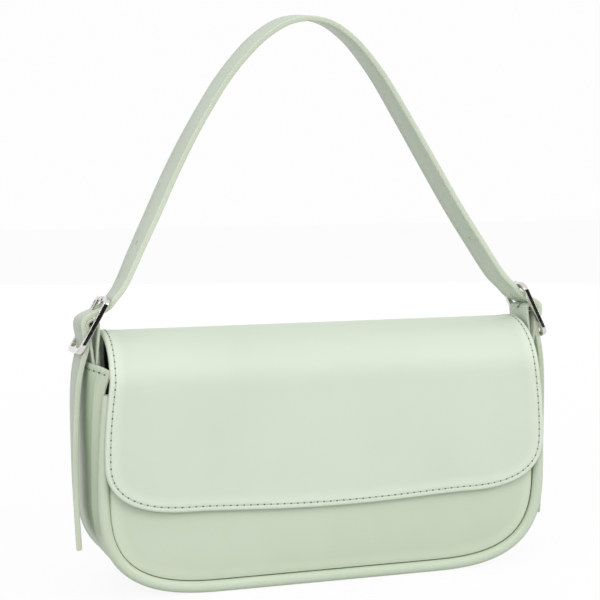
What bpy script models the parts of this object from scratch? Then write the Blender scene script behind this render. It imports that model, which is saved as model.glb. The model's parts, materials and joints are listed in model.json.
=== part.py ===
"""Shoulder bag with piped seams, a front flap and a strap on two buckles.

Metres, +Z up. The front faces -Y, and the origin is under the middle of the base.
"""
import math

import bmesh
import bpy
import numpy as np
from mathutils import Matrix, Quaternion, Vector

# Body outline, measured over the piping
BODY_WIDTH = 0.260
RIDGE_HEIGHT = 0.1418
WIDEST_HEIGHT = 0.0581
SHOULDER_WIDTH = 0.252
CORNER_WIDTH = 0.0726
CORNER_POWER = 2.92
SEAM_DEPTH = 0.0607
LEAN_START = 0.060
LEAN_POWER = 3.0

# Top edges, measured down from the flap's ridge
SHOULDER_DROP = 0.0218
HEM_DROP = 0.0204
FRONT_TOP_DROP = 0.0318
BACK_TOP_DROP = 0.0278
FLAP_BEND_DROP = 0.0298
FLAP_TOP_WIDTH_DROP = 0.0238

# Sheet thicknesses and fits
SEAT_GAP = 0.0003
LEATHER = 0.0014
BOARD = 0.0022
LINING = 0.0008
PIPING_RADIUS = 0.0032
PANEL_PROUD = 0.0006
PANEL_CROWN = 0.0016
CROWN_RISE = 0.030
BOARD_MARGIN = 0.0012
OVERRUN = 0.004

# Gusset
GUSSET_RECESS = 0.0030
GUSSET_BULGE = 0.0042
GUSSET_FLAT_SHARE = 0.17
RIM_RECESS = 0.0012
RIM_WIDTH = 0.0030
RIM_SLOPE = 0.0015
LINING_RECESS = 0.0068
LINING_BULGE = 0.0019
LINING_DROP = 0.0015
BASE_BOARD_MARGIN = 0.004

# Flap
FLAP_STANDOFF = 0.00685
FLAP_COVER = 0.0011
FLAP_STIFFENER = 0.0008
FLAP_LINING = 0.0007
RIDGE_SETBACK = 0.0322
FOLD_SETBACK = 0.0132
BACK_STANDOFF = 0.0047
BACK_SEAM_OVERLAP = 0.010
FLAP_TOP_WIDTH = 0.2472
FLAP_RIDGE_WIDTH = 0.240
FLAP_BACK_WIDTH = 0.212
FLAP_WIDTH = 0.2539
FLAP_WIDEST_HEIGHT = 0.0762
FLAP_CORNER_WIDTH = 0.049
FLAP_CORNER_POWER = 2.6
FLAP_CORNER_END = 0.0461
FLAP_BOW = 0.0025
FLAP_LINING_MARGIN = 0.001
FLAP_STIFFENER_MARGIN = 0.010

# Hidden magnets
MAGNET_DIAMETER = 0.014
MAGNET_HEIGHT = 0.060
MAGNET_FIT = 0.0003

# Slip pocket on the back lining
POCKET_WIDTH = 0.150
POCKET_BOTTOM = 0.030
POCKET_DROP = 0.014

# Strap, along its middle line
STRAP_WIDTH = 0.0230
STRAP_THICKNESS = 0.0030
STRAP_EDGE = 0.0005
STRAP_RISE = 0.1543
STRAP_LEAN_BACK = math.radians(3.5)
STRAP_SWAY = 0.0166
STRAP_SWAY_SHARE = 1.2
STRAP_SETBACK = 0.0302
TAIL_DROP = 0.1033
TAIL_BOW = 0.0050
TAIL_TWIST = math.radians(9.0)
ARCH_SHARES = (
    (0.937, 0.057), (0.852, 0.175), (0.759, 0.3055), (0.670, 0.436), (0.575, 0.567),
    (0.488, 0.6775), (0.405, 0.7755), (0.317, 0.860), (0.225, 0.930), (0.115, 0.983), (0.0, 1.0),
)
TAIL_SHARES = ((0.76, 1.0), (0.95, 0.78), (1.0, 0.55), (0.84, 0.26), (0.50, 0.10))
STRAP_HOLE_DIAMETER = 0.0026
STRAP_HOLE_DISTANCE = 0.031

# Buckle frame with its centre bar, and its prong
BAR_X = 0.1285
BAR_RISE = 0.0236
BUCKLE_LEAN = math.radians(30.0)
FRAME_LENGTH = 0.034
FRAME_SIDE_GAP = 0.0010
FRAME_BAR = 0.0030
FRAME_THICKNESS = 0.0028
FRAME_CORNER = 0.0055
FRAME_EDGE = 0.0008
CENTRE_BAR_RADIUS = 0.0014
PRONG_WIRE = 0.0012
PRONG_WRAP = math.radians(280.0)
PRONG_SHANK_SHARES = ((0.0, 1.0), (0.45, 1.0), (0.80, 0.85), (1.0, 0.55))
PRONG_WIDTH = 0.0026
PRONG_TIP_WIDTH = 0.0018
PRONG_OVERHANG = 0.0016
PRONG_SLOT_SIDE = 0.0006
PRONG_SLOT_LENGTH = 0.008
PRONG_SLOT_START = 0.002
PRONG_SWING_ROOM = 0.0022

# Leather tab round the centre bar
TAB_WIDTH = 0.0200
TAB_LEATHER = 0.0014
TAB_BEND_RADIUS = 0.0023
TAB_TONGUE_X = 0.1238
TAB_TONGUE_DEPTH = 0.010
TAB_TONGUE_RISE = 0.003
TAB_SLOT_DROP = 0.0045

# Mesh counts
CORNER_STEPS = 9
SIDE_STEPS = 5
BASE_STEPS = 4
PANEL_COLUMNS = 14
PIPING_SIDES = 8
TURN_STEPS = 12
LEG_STEPS = 4
TAIL_STEPS = 3
DISC_SIDES = 32
FRAME_STEPS = 6

# Places that follow from the sizes
SHOULDER_HEIGHT = RIDGE_HEIGHT - SHOULDER_DROP
HEM_HEIGHT = RIDGE_HEIGHT - HEM_DROP
FRONT_TOP = RIDGE_HEIGHT - FRONT_TOP_DROP
BACK_TOP = RIDGE_HEIGHT - BACK_TOP_DROP
BACK_SEAM_HEIGHT = BACK_TOP - BACK_SEAM_OVERLAP
POCKET_TOP = BACK_TOP - POCKET_DROP
FLAP_BEND_START = RIDGE_HEIGHT - FLAP_BEND_DROP
FLAP_TOP_WIDTH_HEIGHT = RIDGE_HEIGHT - FLAP_TOP_WIDTH_DROP
BAR_HEIGHT = HEM_HEIGHT + BAR_RISE
OVERALL_DEPTH = FLAP_STANDOFF + SEAM_DEPTH + PIPING_RADIUS
FLAP_FRONT_Y = -OVERALL_DEPTH / 2
FRONT_SEAM_Y = FLAP_FRONT_Y + FLAP_STANDOFF
BACK_SEAM_Y = FRONT_SEAM_Y + SEAM_DEPTH
RIDGE_Y = FLAP_FRONT_Y + RIDGE_SETBACK
FOLD_Y = FLAP_FRONT_Y + FOLD_SETBACK
STRAP_Y = FLAP_FRONT_Y + STRAP_SETBACK
PANEL_INSET = 2 * PIPING_RADIUS + SEAT_GAP
FRAME_HALF_PITCH = (FRAME_LENGTH - FRAME_BAR) / 2
STRAP_UNDER = FRAME_THICKNESS / 2 + 2 * SEAT_GAP + STRAP_THICKNESS / 2
STRAP_OVER = TAB_BEND_RADIUS + TAB_LEATHER + SEAT_GAP + STRAP_THICKNESS / 2

MINT = (0.66, 0.76, 0.60)
BLACK = (0.02, 0.02, 0.02)
GREY = (0.30, 0.30, 0.29)
NICKEL = (0.80, 0.79, 0.77)


def clear_scene():
    for item in list(bpy.data.objects):
        bpy.data.objects.remove(item, do_unlink=True)


def finish_material(name, colour, roughness, metallic=0.0):
    material = bpy.data.materials.new(name)
    material.use_nodes = True
    shader = material.node_tree.nodes["Principled BSDF"]
    shader.inputs["Base Color"].default_value = (*colour, 1.0)
    shader.inputs["Roughness"].default_value = roughness
    shader.inputs["Metallic"].default_value = metallic
    return material


def add_solid(name, mesh_data, material, parent=None, smooth_degrees=35.0):
    bmesh.ops.recalc_face_normals(mesh_data, faces=mesh_data.faces)
    if mesh_data.calc_volume(signed=True) < 0:
        bmesh.ops.reverse_faces(mesh_data, faces=mesh_data.faces)
    mesh = bpy.data.meshes.new(name)
    mesh_data.to_mesh(mesh)
    mesh_data.free()
    mesh.shade_smooth()
    mesh.set_sharp_from_angle(angle=math.radians(smooth_degrees))
    solid = bpy.data.objects.new(name, mesh)
    bpy.context.collection.objects.link(solid)
    mesh.materials.append(material)
    solid.parent = parent
    return solid


def add_cutter(name, mesh_data, parent=None):
    cutter = add_solid(name, mesh_data, bpy.data.materials["cutter"], parent)
    cutter.hide_render = True
    cutter.display_type = "WIRE"
    return cutter


def combine(solid, other, operation):
    modifier = solid.modifiers.new(other.name, "BOOLEAN")
    modifier.operation = operation
    modifier.solver = "EXACT"
    modifier.object = other


def loft(sections):
    """Extrude a first closed section through all the later ones."""
    mesh_data = bmesh.new()
    ring = [mesh_data.verts.new(point) for point in sections[0]]
    face = mesh_data.faces.new(ring)
    for section in sections[1:]:
        region = [face, *face.edges, *face.verts]
        places = [vert.co.to_tuple() for vert in ring]
        grown = bmesh.ops.extrude_face_region(mesh_data, geom=region)["geom"]
        copies = {vert.co.to_tuple(): vert for vert in grown if isinstance(vert, bmesh.types.BMVert)}
        ring = [copies[place] for place in places]
        face = next(item for item in grown if isinstance(item, bmesh.types.BMFace))
        for vert, point in zip(ring, section):
            vert.co = point
    return mesh_data


def half_width(height):
    """Half the body's width above its widest point."""
    climb = (SHOULDER_HEIGHT - height) / (SHOULDER_HEIGHT - WIDEST_HEIGHT)
    spread = (BODY_WIDTH - SHOULDER_WIDTH) / 2
    return SHOULDER_WIDTH / 2 + spread * math.sin(math.pi / 2 * climb)


def superellipse(turn, power):
    """Shares of the two half axes at a quarter turn's share, 0 at the low end."""
    angle = math.pi / 2 * (1 - turn)
    return max(math.cos(angle), 0.0) ** (2 / power), max(math.sin(angle), 0.0) ** (2 / power)


def outline(top):
    """Right half of the body's outline, from the end of its flat base up to a height."""
    points = []
    for step in range(CORNER_STEPS + 1):
        across, down = superellipse(step / CORNER_STEPS, CORNER_POWER)
        x = BODY_WIDTH / 2 - CORNER_WIDTH * (1 - across)
        points.append(Vector((x, WIDEST_HEIGHT * (1 - down))))
    for step in range(1, SIDE_STEPS + 1):
        height = WIDEST_HEIGHT + (top - WIDEST_HEIGHT) * step / SIDE_STEPS
        points.append(Vector((half_width(height), height)))
    return points


def inset_outline(inset, top):
    """The same stations moved in square to the outline, with a level top."""
    points = outline(top)
    moved = []
    for index, point in enumerate(points):
        before = points[max(index - 1, 0)]
        after = points[min(index + 1, len(points) - 1)]
        along = (after - before).normalized()
        if index == 0:
            along = Vector((1, 0))
        moved.append(point - inset * Vector((along.y, -along.x)))
    moved[-1].y = top
    return moved


def inset_band(inset, top):
    """The whole U of an inset outline, from the left top to the right top."""
    right = inset_outline(inset, top)
    left = [Vector((-point.x, point.y)) for point in reversed(right)]
    base = [left[-1].lerp(right[0], step / BASE_STEPS) for step in range(1, BASE_STEPS)]
    return left + base + right


def back_seam_y(height):
    """The back leans forward over its upper half, towards the flap's ridge."""
    rise = min(max((height - LEAN_START) / (RIDGE_HEIGHT - LEAN_START), 0.0), 1.0)
    return RIDGE_Y + (BACK_SEAM_Y - RIDGE_Y) * math.sqrt(1 - rise ** LEAN_POWER)


def crown(x, height, top):
    """How far a panel's padding lifts it at a place; zero along the piping."""
    stations = inset_outline(PANEL_INSET, SHOULDER_HEIGHT)
    width = np.interp(height, [point.y for point in stations], [point.x for point in stations])
    side = min(abs(x) / width, 1.0)
    low = min(max((height - PANEL_INSET) / CROWN_RISE, 0.0), 1.0)
    high = min(max((top - height) / CROWN_RISE, 0.0), 1.0)
    return PANEL_CROWN * (1 - side ** 4) * (1 - (1 - low) ** 3) * (1 - (1 - high) ** 3)


def front_y(x, height, layer):
    return FRONT_SEAM_Y - PANEL_PROUD - crown(x, height, FRONT_TOP + CROWN_RISE) + layer


def back_y(x, height, layer):
    return back_seam_y(height) + PANEL_PROUD + crown(x, height, BACK_TOP) - layer


def panel_sheet(inset, top, surface, layer, thickness):
    """A closed sheet inside the body's outline, on a surface given by its depth."""
    stations = inset_outline(inset, top)
    mesh_data = bmesh.new()
    rows = len(stations) - 1
    bmesh.ops.create_grid(mesh_data, x_segments=PANEL_COLUMNS, y_segments=rows, size=1.0)
    places = {}
    for vert in mesh_data.verts:
        width, height = stations[round((vert.co.y + 1) / 2 * rows)]
        places[vert] = (width * vert.co.x, height)
    grown = bmesh.ops.extrude_face_region(mesh_data, geom=mesh_data.faces[:])["geom"]
    copies = {vert.co.to_tuple(): vert for vert in grown if isinstance(vert, bmesh.types.BMVert)}
    for vert, (x, height) in places.items():
        copies[vert.co.to_tuple()].co = (x, surface(x, height, layer + thickness), height)
        vert.co = (x, surface(x, height, layer), height)
    return mesh_data


def magnet_disc(thickness):
    mesh_data = bmesh.new()
    bmesh.ops.create_cone(mesh_data, cap_ends=True, segments=DISC_SIDES, depth=thickness,
                          radius1=MAGNET_DIAMETER / 2, radius2=MAGNET_DIAMETER / 2)
    return mesh_data


def magnet_hole(name, y):
    """A cutter for the round seat of a magnet in its board."""
    mesh_data = bmesh.new()
    radius = MAGNET_DIAMETER / 2 + MAGNET_FIT
    bmesh.ops.create_cone(mesh_data, cap_ends=True, segments=DISC_SIDES, depth=2 * OVERRUN,
                          radius1=radius, radius2=radius)
    cutter = add_cutter(name, mesh_data)
    cutter.location = (0, y, MAGNET_HEIGHT)
    cutter.rotation_euler = (math.pi / 2, 0, 0)
    return cutter


def add_magnet(name, y, thickness, material):
    magnet = add_solid(name, magnet_disc(thickness), material)
    magnet.location = (0, y, MAGNET_HEIGHT)
    magnet.rotation_euler = (math.pi / 2, 0, 0)
    return magnet


def build_walls(leather, board, lining, metal):
    """Front and back: leather, board and lining, each a sheet behind the last."""
    board_layer = LEATHER + SEAT_GAP
    lining_layer = board_layer + BOARD + SEAT_GAP
    walls = (("front", front_y, FRONT_TOP), ("back", back_y, BACK_TOP))
    solids = {}
    for side, surface, top in walls:
        panel = panel_sheet(PANEL_INSET, top, surface, 0, LEATHER)
        solids[side + "_panel"] = add_solid(side + "_panel", panel, leather)
        backing = panel_sheet(PANEL_INSET + BOARD_MARGIN, top, surface, board_layer, BOARD)
        solids[side + "_board"] = add_solid(side + "_board", backing, board)
        inner = panel_sheet(PANEL_INSET, top, surface, lining_layer, LINING)
        solids[side + "_lining"] = add_solid(side + "_lining", inner, lining)
    seat = front_y(0, MAGNET_HEIGHT, board_layer + BOARD / 2)
    combine(solids["front_board"], magnet_hole("magnet_body_seat", seat), "DIFFERENCE")
    add_magnet("magnet_body", seat, BOARD - SEAT_GAP, metal)
    pocket_layer = lining_layer + LINING + SEAT_GAP
    add_solid("slip_pocket", pocket_sheet(pocket_layer), lining)


def pocket_sheet(layer):
    mesh_data = bmesh.new()
    rows = SIDE_STEPS
    bmesh.ops.create_grid(mesh_data, x_segments=PANEL_COLUMNS, y_segments=rows, size=1.0)
    places = {}
    for vert in mesh_data.verts:
        height = POCKET_BOTTOM + (POCKET_TOP - POCKET_BOTTOM) * (vert.co.y + 1) / 2
        places[vert] = (vert.co.x * POCKET_WIDTH / 2, height)
    grown = bmesh.ops.extrude_face_region(mesh_data, geom=mesh_data.faces[:])["geom"]
    copies = {vert.co.to_tuple(): vert for vert in grown if isinstance(vert, bmesh.types.BMVert)}
    for vert, (x, height) in places.items():
        copies[vert.co.to_tuple()].co = (x, back_y(x, height, layer + LINING), height)
        vert.co = (x, back_y(x, height, layer), height)
    return mesh_data


def piping(seam_y, top):
    """A round cord cover swept along a seam, with a facet flat on the ground."""
    path = inset_band(PIPING_RADIUS, top)
    reach = PIPING_RADIUS / math.cos(math.pi / PIPING_SIDES)
    sections = []
    for index, point in enumerate(path):
        before = path[max(index - 1, 0)]
        after = path[min(index + 1, len(path) - 1)]
        along = (after - before).normalized()
        outward = Vector((along.y, -along.x))
        ring = []
        for side in range(PIPING_SIDES):
            angle = 2 * math.pi * (side + 0.5) / PIPING_SIDES
            place = point + outward * reach * math.cos(angle)
            ring.append(Vector((place.x, seam_y(point.y) + reach * math.sin(angle), place.y)))
        sections.append(ring)
    return loft(sections)


def gusset_band(profile, top, front_edge, back_edge):
    """Sweep a section, given as pairs of inset and depth share, along the body's U."""
    insets = sorted({inset for inset, _ in profile(top)})
    stations = len(inset_band(insets[0], top))
    sections = []
    for index in range(stations):
        height = inset_band(PIPING_RADIUS, top)[index].y
        ring = []
        for inset, share in profile(height):
            point = inset_band(inset, top)[index]
            front = front_edge(point.y)
            depth = front + (back_edge(point.y) - front) * share
            ring.append(Vector((point.x, depth, point.y)))
        sections.append(ring)
    return loft(sections)


def hem_share(height):
    """How far up from the widest point to the hem a height is, eased at both ends."""
    rise = min(max((height - WIDEST_HEIGHT) / (HEM_HEIGHT - WIDEST_HEIGHT), 0.0), 1.0)
    return rise * rise * (3 - 2 * rise)


def gusset_profile(height):
    """Outer and inner side of the gusset: turned rims at the piping, a wall between."""
    depth = SEAM_DEPTH - 2 * (PIPING_RADIUS + SEAT_GAP)
    rim = RIM_WIDTH / depth
    wall = (RIM_WIDTH + RIM_SLOPE) / depth
    bulge = GUSSET_BULGE * hem_share(height)
    outer = [(RIM_RECESS, 0.0), (RIM_RECESS, rim), (GUSSET_RECESS, wall)]
    outer += [(GUSSET_RECESS - bulge, GUSSET_FLAT_SHARE)]
    outer += [(inset, 1 - share) for inset, share in reversed(outer)]
    inner = [(inset + LEATHER, share) for inset, share in reversed(outer)]
    return outer + inner


def lining_profile(height):
    recess = LINING_RECESS - LINING_BULGE * hem_share(height)
    return [(recess, 0.0), (recess, 1.0), (recess + LINING, 1.0), (recess + LINING, 0.0)]


def build_gusset(leather, board, lining):
    edge = PIPING_RADIUS + SEAT_GAP
    band = gusset_band(gusset_profile, HEM_HEIGHT, lambda z: FRONT_SEAM_Y + edge,
                       lambda z: back_seam_y(z) - edge)
    add_solid("gusset", band, leather)
    stack = LEATHER + SEAT_GAP + BOARD + SEAT_GAP + LINING + SEAT_GAP - PANEL_PROUD
    inner = gusset_band(lining_profile, HEM_HEIGHT - LINING_DROP,
                        lambda z: FRONT_SEAM_Y + stack, lambda z: back_seam_y(z) - stack)
    add_solid("gusset_lining", inner, lining)
    add_solid("base_board", base_board(), board)
    for name, seam, top in (("front_piping", lambda z: FRONT_SEAM_Y, FRONT_TOP),
                            ("back_piping", back_seam_y, BACK_TOP)):
        add_solid(name, piping(seam, top), leather)


def base_board():
    """A flat stiffener that lies on the gusset, under its lining."""
    low = GUSSET_RECESS + LEATHER + SEAT_GAP
    high = LINING_RECESS - SEAT_GAP
    depth = SEAM_DEPTH - 2 * (PIPING_RADIUS + RIM_WIDTH + RIM_SLOPE + BASE_BOARD_MARGIN)
    width = BODY_WIDTH - 2 * CORNER_WIDTH
    mesh_data = bmesh.new()
    bmesh.ops.create_cube(mesh_data, size=1.0)
    bmesh.ops.scale(mesh_data, vec=(width, depth, high - low), verts=mesh_data.verts)
    middle = (FRONT_SEAM_Y + BACK_SEAM_Y) / 2
    bmesh.ops.translate(mesh_data, vec=(0, middle, (low + high) / 2), verts=mesh_data.verts)
    upright = [edge for edge in mesh_data.edges
               if abs(edge.verts[0].co.z - edge.verts[1].co.z) > SEAT_GAP]
    bmesh.ops.bevel(mesh_data, geom=upright, offset=BASE_BOARD_MARGIN, segments=4,
                    profile=0.5, affect="EDGES", material=-1)
    return mesh_data


def bend_point(turn):
    """Outer face of the front bend: 0 at the ridge, 1 where the front falls straight."""
    angle = math.pi / 2 * turn
    reach = FLAP_FRONT_Y - RIDGE_Y
    drop = RIDGE_HEIGHT - FLAP_BEND_START
    return Vector((RIDGE_Y + reach * math.sin(angle), FLAP_BEND_START + drop * math.cos(angle)))


def back_point(turn):
    """Outer face behind the ridge: 0 at the ridge, 1 at the seam on the back panel."""
    reach = BACK_SEAM_Y + BACK_STANDOFF - RIDGE_Y
    span = RIDGE_HEIGHT - LEAN_START
    low = (BACK_SEAM_HEIGHT - LEAN_START) / span
    share = low + (1 - low) * math.cos(math.pi / 2 * turn)
    return Vector((RIDGE_Y + reach * math.sqrt(max(1 - share ** LEAN_POWER, 0.0)),
                   LEAN_START + span * share))


def fold_turn():
    """Share of the front bend at which the flap folds."""
    return math.asin((RIDGE_Y - FOLD_Y) / (RIDGE_Y - FLAP_FRONT_Y)) / (math.pi / 2)


def add_flap_pivot():
    """An empty on the axis that the flap folds on, across its outer face."""
    pivot = bpy.data.objects.new("flap_pivot", None)
    bpy.context.collection.objects.link(pivot)
    pivot.location = (0, FOLD_Y, bend_point(fold_turn()).y)
    return pivot


def hang_on_pivot(solids, pivot):
    """Parent pieces that are modelled in place to a pivot, where they are."""
    for solid in solids:
        solid.parent = pivot
        solid.matrix_parent_inverse = Matrix.Translation(-pivot.location)


def flap_half_width(height):
    """Half width of the flap's front between its widest point and its bend."""
    climb = (FLAP_TOP_WIDTH_HEIGHT - height) / (FLAP_TOP_WIDTH_HEIGHT - FLAP_WIDEST_HEIGHT)
    spread = (FLAP_WIDTH - FLAP_TOP_WIDTH) / 2
    if climb >= 0:
        return FLAP_TOP_WIDTH / 2 + spread * math.sin(math.pi / 2 * climb)
    rise = (height - FLAP_TOP_WIDTH_HEIGHT) / (RIDGE_HEIGHT - FLAP_TOP_WIDTH_HEIGHT)
    return FLAP_TOP_WIDTH / 2 + (FLAP_RIDGE_WIDTH - FLAP_TOP_WIDTH) / 2 * rise


def flap_front_rows():
    """Rows of the lifting part: depth, height, half width, and share of the bow."""
    rows = []
    start = fold_turn()
    for step in range(SIDE_STEPS + 1):
        point = bend_point(start + (1 - start) * step / SIDE_STEPS)
        rows.append((point.x, point.y, flap_half_width(point.y), 0.0))
    for step in range(1, SIDE_STEPS + 1):
        height = FLAP_BEND_START + (FLAP_WIDEST_HEIGHT - FLAP_BEND_START) * step / SIDE_STEPS
        rows.append((FLAP_FRONT_Y, height, flap_half_width(height), 0.0))
    for step in range(1, CORNER_STEPS + 1):
        across, down = superellipse(1 - step / CORNER_STEPS, FLAP_CORNER_POWER)
        width = FLAP_WIDTH / 2 - FLAP_CORNER_WIDTH * (1 - across)
        height = FLAP_WIDEST_HEIGHT - (FLAP_WIDEST_HEIGHT - FLAP_CORNER_END) * down
        rows.append((FLAP_FRONT_Y, height, width, down ** 4))
    return rows


def flap_top_rows():
    rows = []
    for step in range(SIDE_STEPS + 1):
        turn = 1 - step / SIDE_STEPS
        point = back_point(turn)
        width = FLAP_RIDGE_WIDTH + (FLAP_BACK_WIDTH - FLAP_RIDGE_WIDTH) * turn
        rows.append((point.x, point.y, width / 2, 0.0))
    end = fold_turn()
    for step in range(1, SIDE_STEPS + 1):
        point = bend_point(end * step / SIDE_STEPS)
        rows.append((point.x, point.y, flap_half_width(point.y), 0.0))
    return rows


def flap_sheet(rows, layer, thickness, margin, trim_start, trim_end):
    """A closed sheet under the flap's outer face, margin inside its edge."""
    mesh_data = bmesh.new()
    count = len(rows) - 1
    bmesh.ops.create_grid(mesh_data, x_segments=PANEL_COLUMNS, y_segments=count, size=1.0)
    faces = []
    for index, (y, z, width, bow) in enumerate(rows):
        before = rows[max(index - 1, 0)]
        after = rows[min(index + 1, count)]
        along = Vector((after[0] - before[0], after[1] - before[1]))
        if along.length < SEAT_GAP:
            along = Vector((0, -1))
        along.normalize()
        inward = Vector((-along.y, along.x))
        shift = Vector((0, 0))
        if index == 0:
            shift = along * trim_start
        if index == count:
            shift = -along * trim_end
        faces.append((Vector((y, z)) + shift, inward, width - margin, bow))
    grown = bmesh.ops.extrude_face_region(mesh_data, geom=mesh_data.faces[:])["geom"]
    copies = {vert.co.to_tuple(): vert for vert in grown if isinstance(vert, bmesh.types.BMVert)}
    originals = [vert for vert in mesh_data.verts if vert not in set(copies.values())]
    for vert in originals:
        twin = copies[vert.co.to_tuple()]
        base, inward, width, bow = faces[round((vert.co.y + 1) / 2 * count)]
        across = vert.co.x
        dip = FLAP_BOW * bow * (1 - across ** 2)
        for corner, offset in ((twin, layer + thickness), (vert, layer)):
            place = base + inward * offset
            corner.co = (across * width, place.x, place.y - dip)
    return mesh_data


def build_flap(leather, board, lining, metal):
    gap = SEAT_GAP
    stiffener_layer = FLAP_COVER + gap
    lining_layer = stiffener_layer + FLAP_STIFFENER + gap
    front = flap_front_rows()
    top = flap_top_rows()
    rigid = [row for row in front if row[0] == FLAP_FRONT_Y]
    lowest = FLAP_CORNER_END + FLAP_STIFFENER_MARGIN
    count = next(index for index, row in enumerate(rigid) if row[1] < lowest)
    cover = add_solid("flap_front", flap_sheet(front, 0, FLAP_COVER, 0, gap, 0), leather)
    sheet = flap_sheet(rigid[:count], stiffener_layer, FLAP_STIFFENER, FLAP_STIFFENER_MARGIN, 0, 0)
    stiffener = add_solid("flap_stiffener", sheet, board)
    sheet = flap_sheet(front, lining_layer, FLAP_LINING, FLAP_LINING_MARGIN, gap, FLAP_LINING_MARGIN)
    liner = add_solid("flap_front_lining", sheet, lining)
    seat = FLAP_FRONT_Y + stiffener_layer + FLAP_STIFFENER / 2
    hole = magnet_hole("magnet_flap_seat", seat)
    combine(stiffener, hole, "DIFFERENCE")
    magnet = add_magnet("magnet_flap", seat, FLAP_STIFFENER, metal)
    hang_on_pivot((cover, stiffener, liner, hole, magnet), add_flap_pivot())
    add_solid("flap_top", flap_sheet(top, 0, FLAP_COVER, 0, 0, 0), leather)
    under = flap_sheet(top, FLAP_COVER + gap, FLAP_LINING, FLAP_LINING_MARGIN, 0, 0)
    add_solid("flap_top_lining", under, lining)


def smooth_path(points, steps):
    """A curve through all the points, by quadratic tangents at each of them."""
    curve = []
    for index in range(len(points) - 1):
        start, end = points[index], points[index + 1]
        leave = (end - points[index - 1]) / 2 if index else end - start
        after = points[index + 2] if index + 2 < len(points) else None
        arrive = (after - start) / 2 if after else end - start
        for step in range(steps):
            share = step / steps
            squared = share * share
            cubed = squared * share
            curve.append((2 * cubed - 3 * squared + 1) * start + (cubed - 2 * squared + share) * leave
                         + (3 * squared - 2 * cubed) * end + (cubed - squared) * arrive)
    return curve + [points[-1]]


def buckle_place(up, out):
    """A place in the right buckle's plane, from the pivot: up along the frame, and out."""
    x = BAR_X - up * math.sin(BUCKLE_LEAN) + out * math.cos(BUCKLE_LEAN)
    z = up * math.cos(BUCKLE_LEAN) + out * math.sin(BUCKLE_LEAN)
    return Vector((x, z))


def buckle_wave(up):
    """The strap goes inside both end bars and outside the tab on the centre bar."""
    middle = (STRAP_OVER - STRAP_UNDER) / 2
    swing = (STRAP_OVER + STRAP_UNDER) / 2
    return middle + swing * math.cos(math.pi * up / FRAME_HALF_PITCH)


def strap_half_path():
    """Middle line of the right half, from the apex to the tail's end."""
    leg = buckle_place(FRAME_HALF_PITCH, -STRAP_UNDER)
    arch = [Vector((leg.x * across, leg.y + STRAP_RISE * up)) for across, up in reversed(ARCH_SHARES)]
    arch.insert(0, Vector((-arch[1].x, arch[1].y)))
    wave = []
    for step in range(TURN_STEPS + 1):
        up = FRAME_HALF_PITCH * (1 - 2 * step / TURN_STEPS)
        wave.append(buckle_place(up, buckle_wave(up)))
    foot = wave[-1]
    tail = [Vector((foot.x + TAIL_BOW * bow, foot.y - TAIL_DROP * down))
            for bow, down in reversed(TAIL_SHARES)]
    upper = smooth_path(arch + wave[:2], LEG_STEPS)
    start = next(index for index, point in enumerate(upper) if abs(point.x) < SEAT_GAP)
    upper = upper[start:-LEG_STEPS - 1]
    lower = smooth_path(wave[-2:] + tail, TAIL_STEPS)
    return upper + wave[:-2] + lower


def sway(height):
    """How far back the arch bows at a height over the buckles' top bars."""
    foot = buckle_place(FRAME_HALF_PITCH, -STRAP_UNDER).y
    share = max(height - foot, 0.0) / STRAP_RISE
    return STRAP_SWAY * math.sin(math.pi * share / STRAP_SWAY_SHARE)


def tail_turn(point):
    """Twist of a tail at a place on it: its front edge turns away from the bag."""
    foot = buckle_place(-FRAME_HALF_PITCH, -STRAP_UNDER).y
    share = min(max(2 * (foot - point.z) / TAIL_DROP, 0.0), 1.0)
    return math.copysign(TAIL_TWIST, point.x) * share * share * (3 - 2 * share)


def strap_path():
    half = strap_half_path()
    left = [Vector((-point.x, point.y)) for point in reversed(half[1:])]
    return [Vector((point.x, sway(point.y), point.y)) for point in left + half]


def ribbon(path, width, thickness, edge, turn=None):
    """Sweep a flat section with eased edges along a path, with an optional twist."""
    side, face = width / 2, thickness / 2
    shape = [(-side, face - edge), (-side + edge, face), (side - edge, face), (side, face - edge),
             (side, edge - face), (side - edge, -face), (edge - side, -face), (-side, edge - face)]
    sections = []
    for index, point in enumerate(path):
        before = path[max(index - 1, 0)]
        after = path[min(index + 1, len(path) - 1)]
        along = (after - before).normalized()
        normal = Vector((-along.z, 0, along.x)).normalized()
        if turn:
            normal.rotate(Quaternion(along, turn(point)))
        across = along.cross(normal)
        if across.y < 0:
            across.negate()
        sections.append([point + across * wide + normal * out for wide, out in shape])
    return loft(sections)


def box_cutter(name, low, high, parent):
    mesh_data = bmesh.new()
    bmesh.ops.create_cube(mesh_data, size=1.0)
    size = [top - bottom for bottom, top in zip(low, high)]
    middle = [(top + bottom) / 2 for bottom, top in zip(low, high)]
    bmesh.ops.scale(mesh_data, vec=size, verts=mesh_data.verts)
    bmesh.ops.translate(mesh_data, vec=middle, verts=mesh_data.verts)
    return add_cutter(name, mesh_data, parent)


def place_on_side(solid, turn):
    """Seat a piece that is built round the right centre bar on either side."""
    reach = math.cos(turn)
    solid.location = (BAR_X * reach, 0, 0)
    solid.rotation_euler = (0, -BUCKLE_LEAN, turn)


def hole_place():
    """The spare hole in the strap leg, a set distance along from the buckle's top bar."""
    path = strap_half_path()
    top_bar = buckle_place(FRAME_HALF_PITCH, -STRAP_UNDER)
    leg = [point for point in path if point.y > top_bar.y]
    leg.reverse()
    walked = 0.0
    for here, following in zip(leg, leg[1:]):
        walked += (following - here).length
        if walked > STRAP_HOLE_DISTANCE:
            return following, (following - here).normalized()
    return leg[-1], Vector((-1, 0))


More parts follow.
